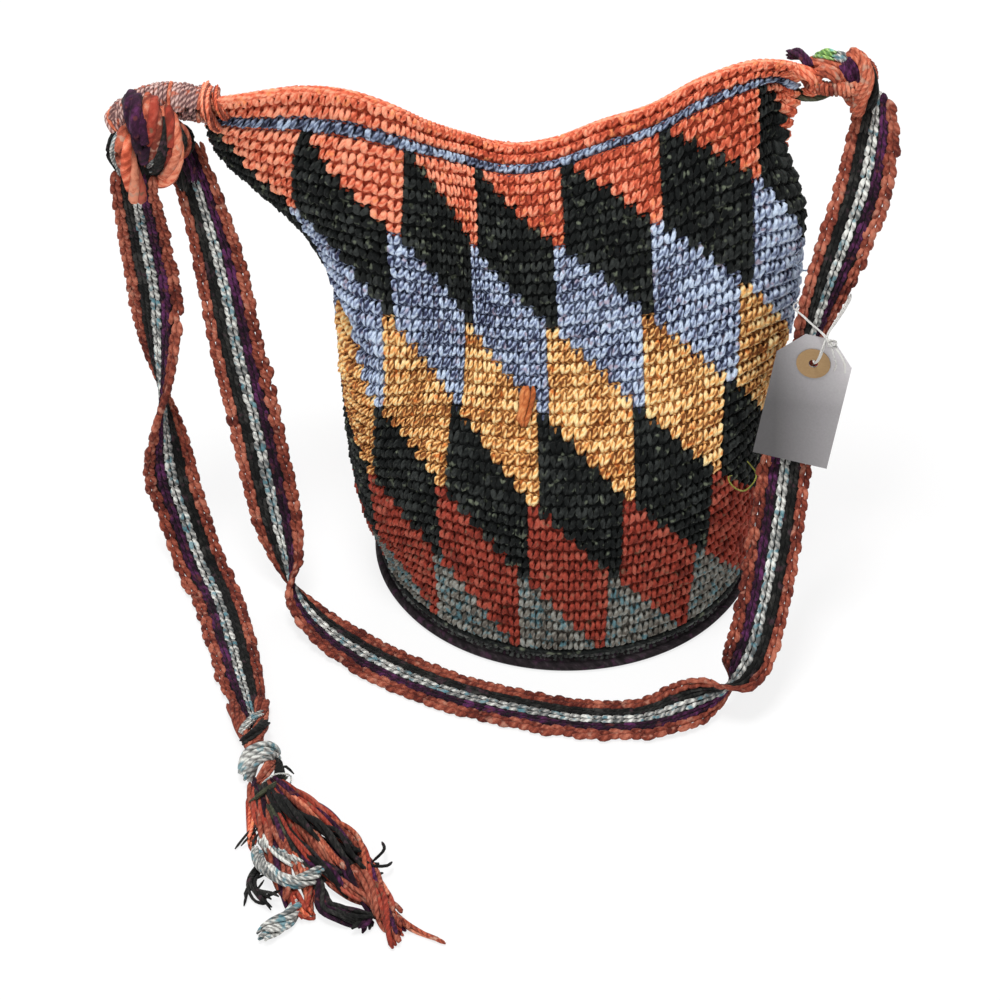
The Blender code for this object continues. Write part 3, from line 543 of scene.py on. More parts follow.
# Camera, lights, floor and backdrop; the camera's place is in millimetres
CAMERA_LENS = 189.0
CAMERA_SENSOR = 36.0
CAMERA_PLACE = (-37.14286, -2247.63354, 1987.15264)
CAMERA_PITCH = math.radians(41.0)
CAMERA_AHEAD = np.array((0, math.cos(CAMERA_PITCH), -math.sin(CAMERA_PITCH)))
CAMERA_UP = np.array((0, math.sin(CAMERA_PITCH), math.cos(CAMERA_PITCH)))
PICTURE_MIDDLE = 500
FOCAL_PIXELS = CAMERA_LENS / CAMERA_SENSOR * 1000
WORLD_LIGHT = 0.50
FLOOR_GAP = 0.0002


def make_camera():
    data = bpy.data.cameras.new("camera")
    data.lens = CAMERA_LENS
    data.sensor_width = CAMERA_SENSOR
    data.clip_end = 30.0
    made = bpy.data.objects.new("camera", data)
    made.location = [c * MM for c in CAMERA_PLACE]
    made.rotation_euler = (math.radians(90.0) - CAMERA_PITCH, 0.0, 0.0)
    bpy.context.scene.collection.objects.link(made)
    bpy.context.scene.camera = made


def seen_ray(tree, share):
    """A share where the camera, a reflection or a clear surface looks, and nothing where light falls."""
    path = add_node(tree, "ShaderNodeLightPath").outputs
    either = add_node(tree, "ShaderNodeMath", {0: path["Is Camera Ray"], 1: path["Is Glossy Ray"]},
                      operation="MAXIMUM")
    any_of = add_node(tree, "ShaderNodeMath", {0: either.outputs[0], 1: path["Is Transmission Ray"]},
                      operation="MAXIMUM")
    scaled = add_node(tree, "ShaderNodeMath", {0: any_of.outputs[0], 1: share}, operation="MULTIPLY")
    return scaled.outputs[0]


def make_light(name, place, target, size, power):
    data = bpy.data.lights.new(name, "AREA")
    data.energy = power
    data.size = size
    made = bpy.data.objects.new(name, data)
    made.location = place
    made.rotation_euler = (Vector(target) - Vector(place)).to_track_quat("-Z", "Y").to_euler()
    bpy.context.scene.collection.objects.link(made)


def make_stage():
    bpy.context.scene.view_settings.view_transform = "Standard"
    make_camera()
    make_light("key", (-0.3, -0.6, 2.8), (0, 0, 0.12), 0.8, 56)
    make_light("fill", (-0.9, -2.2, 1.6), (0, 0, 0.12), 1.8, 11)
    make_light("back", (0.2, 1.6, 1.8), (0, 0, 0.2), 1.4, 20)
    bm = bmesh.new()
    bmesh.ops.create_grid(bm, x_segments=1, y_segments=1, size=6.0)
    mesh = mesh_from(bm, "floor")
    paint, shader = new_material("floor_paint", {"Base Color": (0.90, 0.90, 0.90, 1), "Roughness": 0.9,
                                                 "Specular IOR Level": 0.0})
    tree = paint.node_tree
    glow = add_node(tree, "ShaderNodeEmission")
    mix = add_node(tree, "ShaderNodeMixShader", {0: seen_ray(tree, 0.8), 1: shader.outputs[0],
                                                 2: glow.outputs[0]})
    tree.links.new(mix.outputs[0], tree.nodes["Material Output"].inputs["Surface"])
    mesh.materials.append(paint)
    floor = bpy.data.objects.new("floor", mesh)
    floor.location = (0, 0, -FLOOR_GAP)
    bpy.context.scene.collection.objects.link(floor)
    world = bpy.data.worlds.new("studio")
    bpy.context.scene.world = world
    world.use_nodes = True
    tree = world.node_tree
    ground = tree.nodes["Background"]
    ground.inputs["Color"].default_value = (1, 1, 1, 1)
    level = add_node(tree, "ShaderNodeMapRange", {"Value": seen_ray(tree, 1.0), "To Min": WORLD_LIGHT,
                                                  "To Max": 1.0})
    tree.links.new(level.outputs[0], ground.inputs["Strength"])


# Crocheted wall: the size of one stitch as it is drawn, and where the dark backing, painted shade that shows
# through the gaps, and the inner face lie
STITCH_WIDTH = 6.87
ROW_HEIGHT = 7.1
SHADE_BACKING_OUT = -2.1
INNER_OUT = -3.5


def stitches_by_colour(first_row):
    """All stitches from a row up, as (stitch, row) for each colour."""
    cells = {}
    for row in range(first_row, ROWS):
        for stitch in range(STITCHES):
            cells.setdefault(stitch_colour(stitch, row), []).append((stitch, row))
    return {colour: np.array(places, float) for colour, places in cells.items()}


def wall_stitch():
    """One crochet stitch: two legs that rise from its foot, swell and curl in at the top."""
    legs = []
    for way in (-1, 1):
        path = [(way * 0.35, -3.1, -1.9), (way * 0.95, -1.9, 0.1), (way * 1.8, 0.0, 1.15),
                (way * 2.25, 1.7, 0.9), (way * 1.75, 3.0, -1.1)]
        path = [(x + y * 0.10, y, z) for x, y, z in path]
        legs.append((path, (0.85, 1.4, 1.65, 1.6, 0.85), 5, 1.0))
    legs.append((((-3.7, 3.3, -2.0), (0, 3.7, -1.7), (3.7, 3.3, -2.0)), (1.5, 1.6, 1.5), 4, 1.0))
    return pattern_of(legs)


def on_wall(flat, cells):
    """Bends stitches onto the wall; a cell is its stitch, row, and its width, height and plumpness."""
    flat = flat + RNG.normal(0, 0.16, (len(cells), flat.shape[1], 3)) * (1.0, 1.0, 1.4)
    u = cells[:, 0:1] + 0.5 + flat[..., 0] / STITCH_WIDTH * cells[:, 2:3]
    v = cells[:, 1:2] + 0.5 + flat[..., 1] / ROW_HEIGHT * cells[:, 3:4]
    out = flat[..., 2] * cells[:, 4:5] - 1.2
    return WALL_SURFACE.at(u, np.clip(v, 0, ROWS), out)


def painted_light_and_dye_drift(colour, side, row):
    """How far the yarn runs paler or darker; side counts stitches to the right of the front. On the gold,
    darker on the left below the slump: painted shade under the bulge. On the coral, paler on the left:
    painted light where the wall faces up. The lavender runs darker on the left and paler to the right; the
    row waves are drifts of the space-dyed yarn, and the coral is also paler in its rows just under the
    mouth.
    """
    left = 1 - ease(-16, 0, side)
    if colour == "gold":
        return 0.08 - 0.34 * left * (1 - ease(20, 28, row)) + 0.10 * np.sin(row * 1.9 + side * 0.05)
    if colour == "lavender":
        return 0.04 - 0.06 * left + 0.16 * ease(2, 12, side) + 0.08 * np.sin(row * 0.9)
    if colour == "coral":
        return 0.42 * left + 0.10 * ease(36, 44, row) * (1 - ease(45, 46, row)) - 0.10
    return 0.06 * np.sin(row * 1.3 + side * 0.1)


def make_wall():
    repeat = wall_stitch()
    for colour, places in stitches_by_colour(0).items():
        count = len(places)
        jitter = RNG.normal(0, 1, (count, 5))
        low = places[:, 1] < BOTTOM_ROWS
        grid = np.stack([places[:, 0] + 0.05 * jitter[:, 0], places[:, 1] + 0.04 * jitter[:, 1],
                         1 + 0.06 * jitter[:, 2], 1 + 0.06 * jitter[:, 3],
                         (1 + 0.14 * jitter[:, 4]) * np.where(low, 0.7, 1.0)], -1)
        tones = 0.42 + 0.2 * RNG.normal(0, 1, (count, 1)) + 0.16 * RNG.normal(0, 1, (count, 3))
        tones = np.clip(tones, 0.02, 1)
        # The drift adds painted shade to the gold and painted light to the coral, with the yarn's own drift
        tones[:, :2] += painted_light_and_dye_drift(colour, around(places[:, 0:1], 0), places[:, 1:2])
        # The bar in the valley between rows takes one fixed tone, below the legs' usual 0.42: painted shade
        # in the valley
        tones[:, 2] = 0.34
        share = 0.36 if colour == "sage" else 0.2
        lay_out("wall_" + colour, repeat, grid, on_wall, tones, yarn_material(colour, share),
                "crochet_body", shadow=0.2)


def make_lining():
    """The inside face of the fabric and, behind the stitches, a backing at a very low tone, painted shade
    that shows dark through the gaps, as one thin shell.
    """
    bm = bmesh.new()
    bmesh.ops.create_grid(bm, x_segments=192, y_segments=141, size=1.0)
    mesh = mesh_from(bm, "wall_lining")
    flat = coordinates(mesh)
    u = (flat[:, 0] + 1) / 2 * STITCHES
    t = (flat[:, 1] + 1) / 2
    inner = t < 0.667
    v = np.where(inner, t / 0.667 * (ROWS - 0.4) + 0.2, (1 - t) / 0.333 * (ROWS - 0.4) + 0.2)
    purl = 0.55 * np.cos(math.tau * v) + 0.35 * np.cos(math.tau * (u + 0.25 * v))
    places = WALL_SURFACE.at(u, v, np.where(inner, -WALL + 0.4 + purl * 0.8, SHADE_BACKING_OUT))
    mesh.vertices.foreach_set("co", places.astype(np.float32).ravel())
    # The backing's tone of 0.10 is painted shade between the stitches
    set_tone(mesh, np.where(inner, 0.42, 0.10))
    colours = list(dict.fromkeys(BANDS + ("border", "slate")))
    for colour in colours:
        mesh.materials.append(yarn_material(colour))
    corner = corner_points(mesh).reshape(-1, 4)
    slots = [colours.index(stitch_colour(int(a) % STITCHES, min(int(b), ROWS - 1)))
             for a, b in zip(u[corner].mean(1), v[corner].mean(1))]
    mesh.polygons.foreach_set("material_index", slots)
    bm = bmesh.new()
    bm.from_mesh(mesh)
    bmesh.ops.remove_doubles(bm, verts=bm.verts, dist=0.00005)
    bm.loops.layers.uv.verify()
    bm.to_mesh(mesh)
    bm.free()
    add_piece("wall_lining", mesh, "crochet_body")


# Strap: the length of one braided pair, and the flat core between the stripes
PAIR_PITCH = 5.9
CORE_HALF_WIDTH = 10.5
CORE_HALF_THICKNESS = 0.9
# The stripes stop inside the hitch and inside the knot, which lies left of and above these lines
HITCH_LENGTH = 52
KNOT_RIGHT_SIDE = -200
KNOT_UNDERSIDE = 266


def frames_along(path, across, per_span, closed=False):
    """Even samples of a smooth curve: places, sides and normals in millimetres, with their distance."""
    points = np.asarray(path, float)
    sides = np.asarray(across, float)
    count = len(points)
    spans = count if closed else count - 1
    out_p, out_s, keys = [], [], []
    for span in range(spans):
        for step in range(per_span + (1 if span == spans - 1 else 0)):
            t = step / per_span
            picks = [(span + k) % count if closed else min(max(span + k, 0), count - 1)
                     for k in (-1, 0, 1, 2)]
            for items, out in ((points, out_p), (sides, out_s)):
                p0, p1, p2, p3 = (items[k] for k in picks)
                out.append(0.5 * (2 * p1 + (p2 - p0) * t + (2 * p0 - 5 * p1 + 4 * p2 - p3) * t * t
                                  + (3 * p1 - p0 - 3 * p2 + p3) * t**3))
            keys.append(span + t)
    places, sides, keys = np.array(out_p), np.array(out_s), np.array(keys)
    if closed:
        tangent = np.roll(places[:-1], -1, 0) - np.roll(places[:-1], 1, 0)
        tangent = np.vstack([tangent, tangent[:1]])
    else:
        tangent = np.gradient(places, axis=0)
    tangent /= np.linalg.norm(tangent, axis=-1, keepdims=True)
    sides -= tangent * (sides * tangent).sum(-1, keepdims=True)
    sides /= np.linalg.norm(sides, axis=-1, keepdims=True)
    normals = np.cross(tangent, sides)
    distance = np.concatenate([[0], np.cumsum(np.linalg.norm(np.diff(places, axis=0), axis=-1))])
    return {"places": places, "sides": sides, "normals": normals, "distance": distance, "keys": keys}


def sampled(line, key, s):
    """The places, sides or normals of a line at the distances s."""
    return np.stack([np.interp(s, line["distance"], line[key][:, k]) for k in range(3)], -1)


class Band:
    """A strap's own space: along it, across it and off its face."""

    def __init__(self, path, across, shares):
        self.line = frames_along(path, across, 8)
        self.shares = np.interp(self.line["keys"], np.arange(len(shares)), shares)
        self.length = self.line["distance"][-1]

    def sample(self, key, s):
        return sampled(self.line, key, s)

    def at(self, s, x, z):
        share = np.interp(s, self.line["distance"], self.shares)
        off = z * (1 + (1 - share) * 0.5)
        return (self.sample("places", s) + self.sample("sides", s) * (x * share)[..., None]
                + self.sample("normals", s) * off[..., None]) * MM


def strap_pair(width):
    """Two plump warp floats that meet in a V, as wide as their stripe and as thick as the strap."""
    legs = []
    half = width / 4
    for way in (-1, 1):
        path = [(way * half * 0.35, -4.3, 0), (way * half * 0.75, -2.2, 0.0), (way * half * 1.1, 0.0, 0.0),
                (way * half * 1.15, 2.2, 0.0), (way * half * 0.8, 3.9, 0)]
        legs.append((path, (half * 0.5, half * 1.0, half * 1.18, half * 1.05, half * 0.45), 5, 1.15))
    return pattern_of(legs)


def weave_band(name, band, stripes, node, hidden):
    """Lays braided pairs along the stripes of a band, but not where hidden() says so."""
    yarns = {}
    for colour, centre, width in stripes:
        yarns.setdefault(colour, []).append((centre, width))
    for colour, columns in yarns.items():
        repeat = strap_pair(columns[0][1])
        steps = [i + 0.5 for i in range(int(band.length / PAIR_PITCH)) if not hidden((i + 0.5) * PAIR_PITCH)]
        cells = np.array([((step + 0.3 * k) * PAIR_PITCH, centre)
                          for k, (centre, width) in enumerate(columns) for step in steps])
        wobble = RNG.normal(0, 1, (len(cells), 3))

        def shape(flat, cells):
            s = cells[:, 0:1] + flat[..., 1] + 0.25 * wobble[:, 0:1]
            edge = np.where(np.abs(cells[:, 1:2]) > 10, np.sign(cells[:, 1:2]), 0.0)
            scallop = edge * (0.45 * np.sin(cells[:, 0:1] / 13.0 * math.tau) + 0.25 * wobble[:, 2:3])
            x = cells[:, 1:2] + flat[..., 0] * (1 + 0.06 * wobble[:, 1:2]) + 0.2 * wobble[:, 2:3] + scallop
            return band.at(np.clip(s, 0, band.length), x, flat[..., 2])

        height = band.sample("places", cells[:, 0])[:, 2:3]
        # Tones rise with height up to 250 mm: painted shade low on the strap and painted light higher up
        tones = (0.36 + 0.16 * np.minimum(height / 250, 1) + 0.16 * RNG.normal(0, 1, (len(cells), 1))
                 + 0.14 * RNG.normal(0, 1, (len(cells), 2)))
        yarn = yarn_material(colour, 0.34 if colour == "strap_white" else 0.2)
        lay_out(name + "_" + colour, repeat, cells, shape, np.clip(tones, 0, 1), yarn, node)


def sleeve(name, band, start, end):
    """A thin flat tube that fills the strap between its stripes, at a very low tone: painted shade that
    shows dark between the floats.
    """
    count = int((end - start) / 4)
    path = [(0, start + (end - start) * k / count, 0) for k in range(count + 1)]
    repeat = pattern_of([(path, [1.0] * (count + 1), 8, 1.0)])

    def shape(flat, cells):
        return band.at(flat[..., 1], flat[..., 0] * CORE_HALF_WIDTH, flat[..., 2] * CORE_HALF_THICKNESS)

    lay_out(name, repeat, np.zeros((1, 1)), shape, np.full((1, 1), 0.1), yarn_material("strap_pine"),
            "shoulder_strap")


def make_strap():
    path, across, shares = zip(*STRAP_PATH)
    band = Band(path, [np.array(a) / np.linalg.norm(a) for a in across], shares)

    def under_the_knots(s):
        place = band.sample("places", np.array([s]))[0]
        return s < HITCH_LENGTH or (place[0] < KNOT_RIGHT_SIDE and place[2] > KNOT_UNDERSIDE)

    weave_band("strap", band, STRIPES, "shoulder_strap", under_the_knots)
    inside_knot = [s for s in np.arange(60, band.length, 2.0) if under_the_knots(s)]
    sleeve("strap_core", band, 58, inside_knot[0])
    sleeve("tail_core", band, inside_knot[-1], band.length - 4)


def wind(name, line, radius, pitch, thickness, colours, node):
    """Yarn wound round a bundle, one piece for each colour, with its turns side by side."""
    per_turn = 16
    count = int(line["distance"][-1] / pitch * per_turn)
    s = np.arange(count + 1) / per_turn * pitch
    angle = np.arange(count + 1) / per_turn * math.tau
    reach = radius * (1 + 0.04 * RNG.normal(0, 1, count + 1))
    ring = (sampled(line, "sides", s) * np.cos(angle)[:, None]
            + sampled(line, "normals", s) * np.sin(angle)[:, None])
    places = (sampled(line, "places", s) + ring * reach[:, None]) * MM
    pieces = {}
    block = int(per_turn * 1.7)
    for k in range(0, count, block):
        colour = colours[(k // block) % len(colours)]
        pieces.setdefault(colour, []).append((places[k:k + block + 1], thickness))
    for colour, runs in pieces.items():
        yarn_runs(name + "_" + colour, runs, colour, node)


def yarn_runs(name, runs, colour, node):
    """Several yarns as one piece; each is its places in metres and its radius in millimetres."""
    bm = bmesh.new()
    layer = bm.loops.layers.uv.new("strand")
    marks = []
    for run, radius in runs:
        start = len(bm.verts)
        radii = [radius * MM] * len(run)
        radii[0] = radii[-1] = radius * MM * 0.45
        strand(bm, layer, [tuple(p) for p in run], radii)
        length = float(np.linalg.norm(np.diff(run, axis=0), axis=-1).sum()) / (radius * 6 * MM)
        marks.append((start, len(bm.verts), length))
    bmesh.ops.recalc_face_normals(bm, faces=bm.faces)
    mesh = mesh_from(bm, name)
    values = np.zeros(len(mesh.vertices))
    scale = np.zeros(len(mesh.vertices))
    for low, high, length in marks:
        values[low:high] = np.clip(0.45 + 0.2 * RNG.normal(), 0, 1)
        scale[low:high] = length
    set_tone(mesh, values)
    uv = np.empty(len(mesh.loops) * 2)
    mesh.uv_layers["strand"].data.foreach_get("uv", uv)
    uv[0::2] *= scale[corner_points(mesh)]
    mesh.uv_layers["strand"].data.foreach_set("uv", uv)
    mesh.materials.append(yarn_material(colour, 0.3))
    add_piece(name, mesh, node)


def sight_line(px, py):
    """Where the camera stands and looks for a pixel of its 1000 x 1000 picture, in millimetres."""
    off = np.array((px - PICTURE_MIDDLE, 0, 0)) - CAMERA_UP * (py - PICTURE_MIDDLE)
    return np.array(CAMERA_PLACE), CAMERA_AHEAD + off / FOCAL_PIXELS


def over_floor(px, py, height):
    """The place at a height over the floor that shows at a pixel."""
    start, ray = sight_line(px, py)
    return start + ray * (height - start[2]) / ray[2]


def at_depth(px, py, y):
    """The place at a depth y that shows at a pixel."""
    start, ray = sight_line(px, py)
    return start + ray * (y - start[1]) / ray[1]


def carried(path, per_span=6):
    """Places on a smooth line, with side directions that turn as little as they can, and the distance."""
    line = frames_along(path, [(0.31, 0.22, 0.92)] * len(path), per_span)
    tangent = np.gradient(line["places"], axis=0)
    tangent /= np.linalg.norm(tangent, axis=-1, keepdims=True)
    side = line["sides"].copy()
    for k in range(1, len(side)):
        turned = side[k - 1] - tangent[k] * side[k - 1].dot(tangent[k])
        side[k] = turned / np.linalg.norm(turned)
    line["sides"] = side
    line["normals"] = np.cross(tangent, side)
    return line


def rope(path, radius, plies, lay=75.0, fray=0.0, trim=0.0, wave=0.0):
    """The yarns of a twisted bundle round a smooth line, as (places, radius); fray opens the far end."""
    line = carried(path)
    length = line["distance"][-1]
    count = max(5, int(length / 2.4))
    first = RNG.uniform(0, 1)
    runs = []
    for ply in range(plies):
        ring = 0.0 if plies == 1 else (0.5 if plies <= 4 else math.sqrt((ply + 0.4) / plies) * 0.78)
        s = np.linspace(0, length * (1 - trim * RNG.uniform(0, 1)), count)
        share = s / length
        turn = first + (ply * 0.382 if plies > 4 else ply / plies)
        angle = math.tau * (s / lay + turn)
        spread = radius * ring * (1 + fray * share**2)
        sway = wave * np.sin(share * RNG.uniform(4, 9) + RNG.uniform(0, 6)) * share
        places, sides, normals = (sampled(line, key, s) for key in ("places", "sides", "normals"))
        off = sides * (np.cos(angle) * spread + sway)[:, None] + normals * (np.sin(angle) * spread)[:, None]
        thick = radius if plies == 1 else radius * (0.58 if plies <= 4 else 0.95 / math.sqrt(plies))
        runs.append(((places + off) * MM, thick))
    return runs


def lay_ropes(name, ropes, spot, node, floor=None):
    """Makes ropes given as (colour, radius, plies, pixel path, options), one piece for each colour."""
    pieces = {}
    for colour, radius, plies, path, *options in ropes:
        colours = (colour,) if isinstance(colour, str) else colour
        count = plies * 3 if 2 <= plies <= 3 else plies
        runs = rope([spot(*p) for p in path], radius, count, **(options[0] if options else {}))
        for k, (run, thick) in enumerate(runs):
            if floor is not None:
                run[:, 2] = np.maximum(run[:, 2], thick * MM + floor)
            pieces.setdefault(colours[k % len(colours)], []).append((run, thick))
    for colour, runs in pieces.items():
        yarn_runs(name + "_" + colour, runs, colour, node)


def make_loops():
    line = frames_along(LEFT_LOOP_PATH, [(0, 0, 1)] * len(LEFT_LOOP_PATH), 12)
    marl = ("loop_grey", "knot_orange", "loop_grey", "loop_grey", "loop_grey")
    wind("left_loop", line, 9.0, 2.0, 1.2, marl, "left_wrapped_loop")
    ring = []
    for i in range(28):
        c = math.cos(math.tau * i / 28)
        s = math.sin(math.tau * i / 28)
        ring.append(np.array(RIGHT_LOOP_CENTRE) + (RIGHT_LOOP_HALF[0] * math.copysign(abs(c) ** 0.7, c),
                                                   RIGHT_LOOP_HALF[1] * math.copysign(abs(s) ** 0.7, s), 0))
    line = frames_along(ring, [(0, 0, 1)] * 28, 4, closed=True)
    wind("right_loop", line, 2.9, 2.2, 1.25, ("knot_orange",), "right_rim_loop")


# Ropes as (colour, radius, plies, pixel path with a depth or a height, options), radii in millimetres
KNOT_WARM = ("knot_orange", "rust", "knot_orange", "coral", "knot_orange", "strap_purple", "knot_orange")
KNOT_ROPES = (
    (("strap_pine", "strap_orange"), 3.4, 3, ((142, 158, 2), (147, 168, 1), (150, 180, 1), (151, 192, 2))),
    ("strap_purple", 5.8, 4,
     ((140, 145, 26), (136, 117, 28), (134, 105, 22), (133, 100, 12), (134, 106, 1), (136, 119, -6),
      (140, 134, -9), (144, 147, -8), (149, 159, 0))),
    (KNOT_WARM, 5.2, 4,
     ((155, 144, 26), (153, 117, 28), (151, 105, 22), (150, 100, 12), (151, 106, 1), (152, 119, -6),
      (153, 135, -8), (153, 150, -6), (152, 161, 4))),
    ("strap_white", 3.3, 3, ((153, 135, 2), (157, 145, -6), (154, 157, -8), (151, 169, 0))),
    ("strap_pine", 4.0, 3,
     ((157, 109, 14), (160, 116, 1), (164, 131, -7), (163, 147, -10), (159, 162, -9), (154, 172, 2))),
    (KNOT_WARM, 4.8, 4,
     ((163, 107, 20), (164, 107, 8), (168, 116, 0), (172, 131, -6), (175, 148, -10), (173, 165, -9),
      (168, 177, -4), (158, 179, 6), (152, 174, 14))),
    (("strap_orange", "strap_pine", "rust"), 4.0, 3,
     ((169, 122, 8), (178, 128, 2), (184, 136, 0), (185, 146, 2), (179, 155, 8))),
    ("strap_pine", 3.1, 3, ((180, 126, 12), (188, 134, 8), (190, 144, 8), (185, 153, 12))),
    (KNOT_WARM, 5.5, 4,
     ((134, 129, 8), (127, 134, 0), (124, 147, -6), (128, 165, -6), (134, 182, -4), (139, 200, -2))),
    ("strap_white", 2.8, 3,
     ((124, 130, 6), (116, 140, -2), (114, 150, -4), (117, 162, -4), (124, 175, -2))),
    ("strap_pine", 2.6, 3, ((119, 130, 9), (112, 140, 2), (110, 150, 0), (113, 160, 0), (121, 172, 0))),
    ("strap_pine", 2.9, 3, ((139, 152, 8), (141, 165, 0), (144, 179, -2), (148, 194, -1))),
    ("strap_purple", 3.8, 3, ((172, 144, 16), (180, 155, 12), (188, 167, 10), (193, 180, 11))),
    ("strap_pine", 3.1, 3, ((184, 152, 20), (177, 159, 16), (180, 175, 12), (185, 190, 12))),
    (("coral", "strap_orange"), 3.1, 3,
     ((207, 84, 18), (205, 96, 4), (207, 112, -4), (213, 124, 0), (222, 128, 8))),
    (("coral", "strap_orange"), 2.8, 3, ((216, 88, 14), (217, 98, 4), (220, 110, -2), (228, 118, 2))),
    ("loop_grey", 3.6, 3, ((128, 112, 22), (123, 106, 18), (116, 111, 12), (115, 121, 10), (121, 127, 12))),
)
EAR_ROPES = (
    (("rust", "strap_purple"), 3.6, 3,
     ((824, 338, -22), (819, 350, -23), (814, 363, -24), (809, 378, -25), (803, 395, -26))),
    ("strap_purple", 3.6, 2, ((846, 60, 6), (853, 66, 5), (858, 76, 3), (861, 88, 1))),
    ("olive", 3.4, 2, ((787, 88, 10), (797, 95, 7), (810, 97, 5), (822, 94, 5), (835, 86, 8))),
    ("coral", 4.3, 3,
     ((770, 66, 6), (786, 67, 2), (800, 71, 0), (813, 78, -1), (815, 88, 1), (806, 91, 6))),
    ("strap_purple", 3.2, 2, ((788, 54, 20), (797, 54, 14), (805, 59, 8), (811, 67, 4))),
    ("lime", 3.1, 2, ((817, 57, 18), (825, 54, 13), (836, 56, 10))),
    ("strap_white", 3.1, 2, ((834, 56, 11), (842, 57, 10), (849, 61, 8))),
    ("knot_orange", 4.2, 3,
     ((812, 78, 4), (822, 71, 2), (834, 75, 1), (842, 84, 3), (848, 94, 5), (855, 105, 7))),
    ("knot_orange", 4.0, 3, ((808, 67, 10), (822, 64, 9), (836, 66, 8), (848, 70, 6))),
    ("strap_purple", 3.2, 2, ((842, 64, 6), (848, 73, 2), (853, 83, 2))),
    ("knot_orange", 4.4, 3,
     ((846, 60, 16), (854, 55, 9), (864, 62, 3), (867, 76, -2), (864, 90, -4), (859, 103, -3),
      (855, 114, -2))),
    ("strap_pine", 3.2, 2, ((856, 58, 14), (868, 68, 8), (873, 82, 3), (872, 96, 0), (868, 108, -1))),
)
LOOSE = {"lay": 90.0, "fray": 0.5, "trim": 0.16, "wave": 1.6}
RAGGED = {"lay": 60.0, "fray": 2.0, "trim": 0.3, "wave": 3.0}
GATHER_ROPES = (
    ("strap_orange", 4.4, 3, ((232, 704, 5), (240, 722, 8), (249, 742, 9), (257, 762, 9))),
    ("strap_orange", 4.4, 3, ((262, 700, 6), (262, 722, 9), (256, 740, 12), (249, 758, 9))),
    ("strap_white", 2.2, 2, ((240, 733, 11), (250, 721, 15), (263, 713, 11))),
    ("strap_pine", 3.0, 2, ((243, 743, 10), (254, 733, 16), (266, 722, 11))),
    ("strap_white", 3.9, 2, ((242, 774, 5), (247, 758, 12), (258, 749, 17), (269, 747, 14), (276, 753, 7))),
    ("strap_white", 3.6, 2, ((247, 780, 5), (255, 763, 15), (266, 756, 17), (276, 758, 9))),
    ("strap_orange", 3.6, 3, ((258, 786, 10), (266, 772, 15), (272, 760, 12))),
    ("strap_pine", 3.0, 3, ((270, 792, 8), (279, 776, 12), (277, 760, 10))),
    ("olive", 1.5, 2, ((250, 803, 5), (259, 795, 14), (272, 786, 15), (287, 777, 8))),
    ("strap_white", 0.5, 1, ((262, 783, 14), (276, 774, 18), (291, 776, 14), (288, 790, 10))),
    ("strap_pine", 0.8, 1, ((276, 776, 12), (284, 766, 10), (294, 774, 6))),
)
WARM = ("strap_orange", "rust", "strap_purple", "strap_orange", "strap_orange")
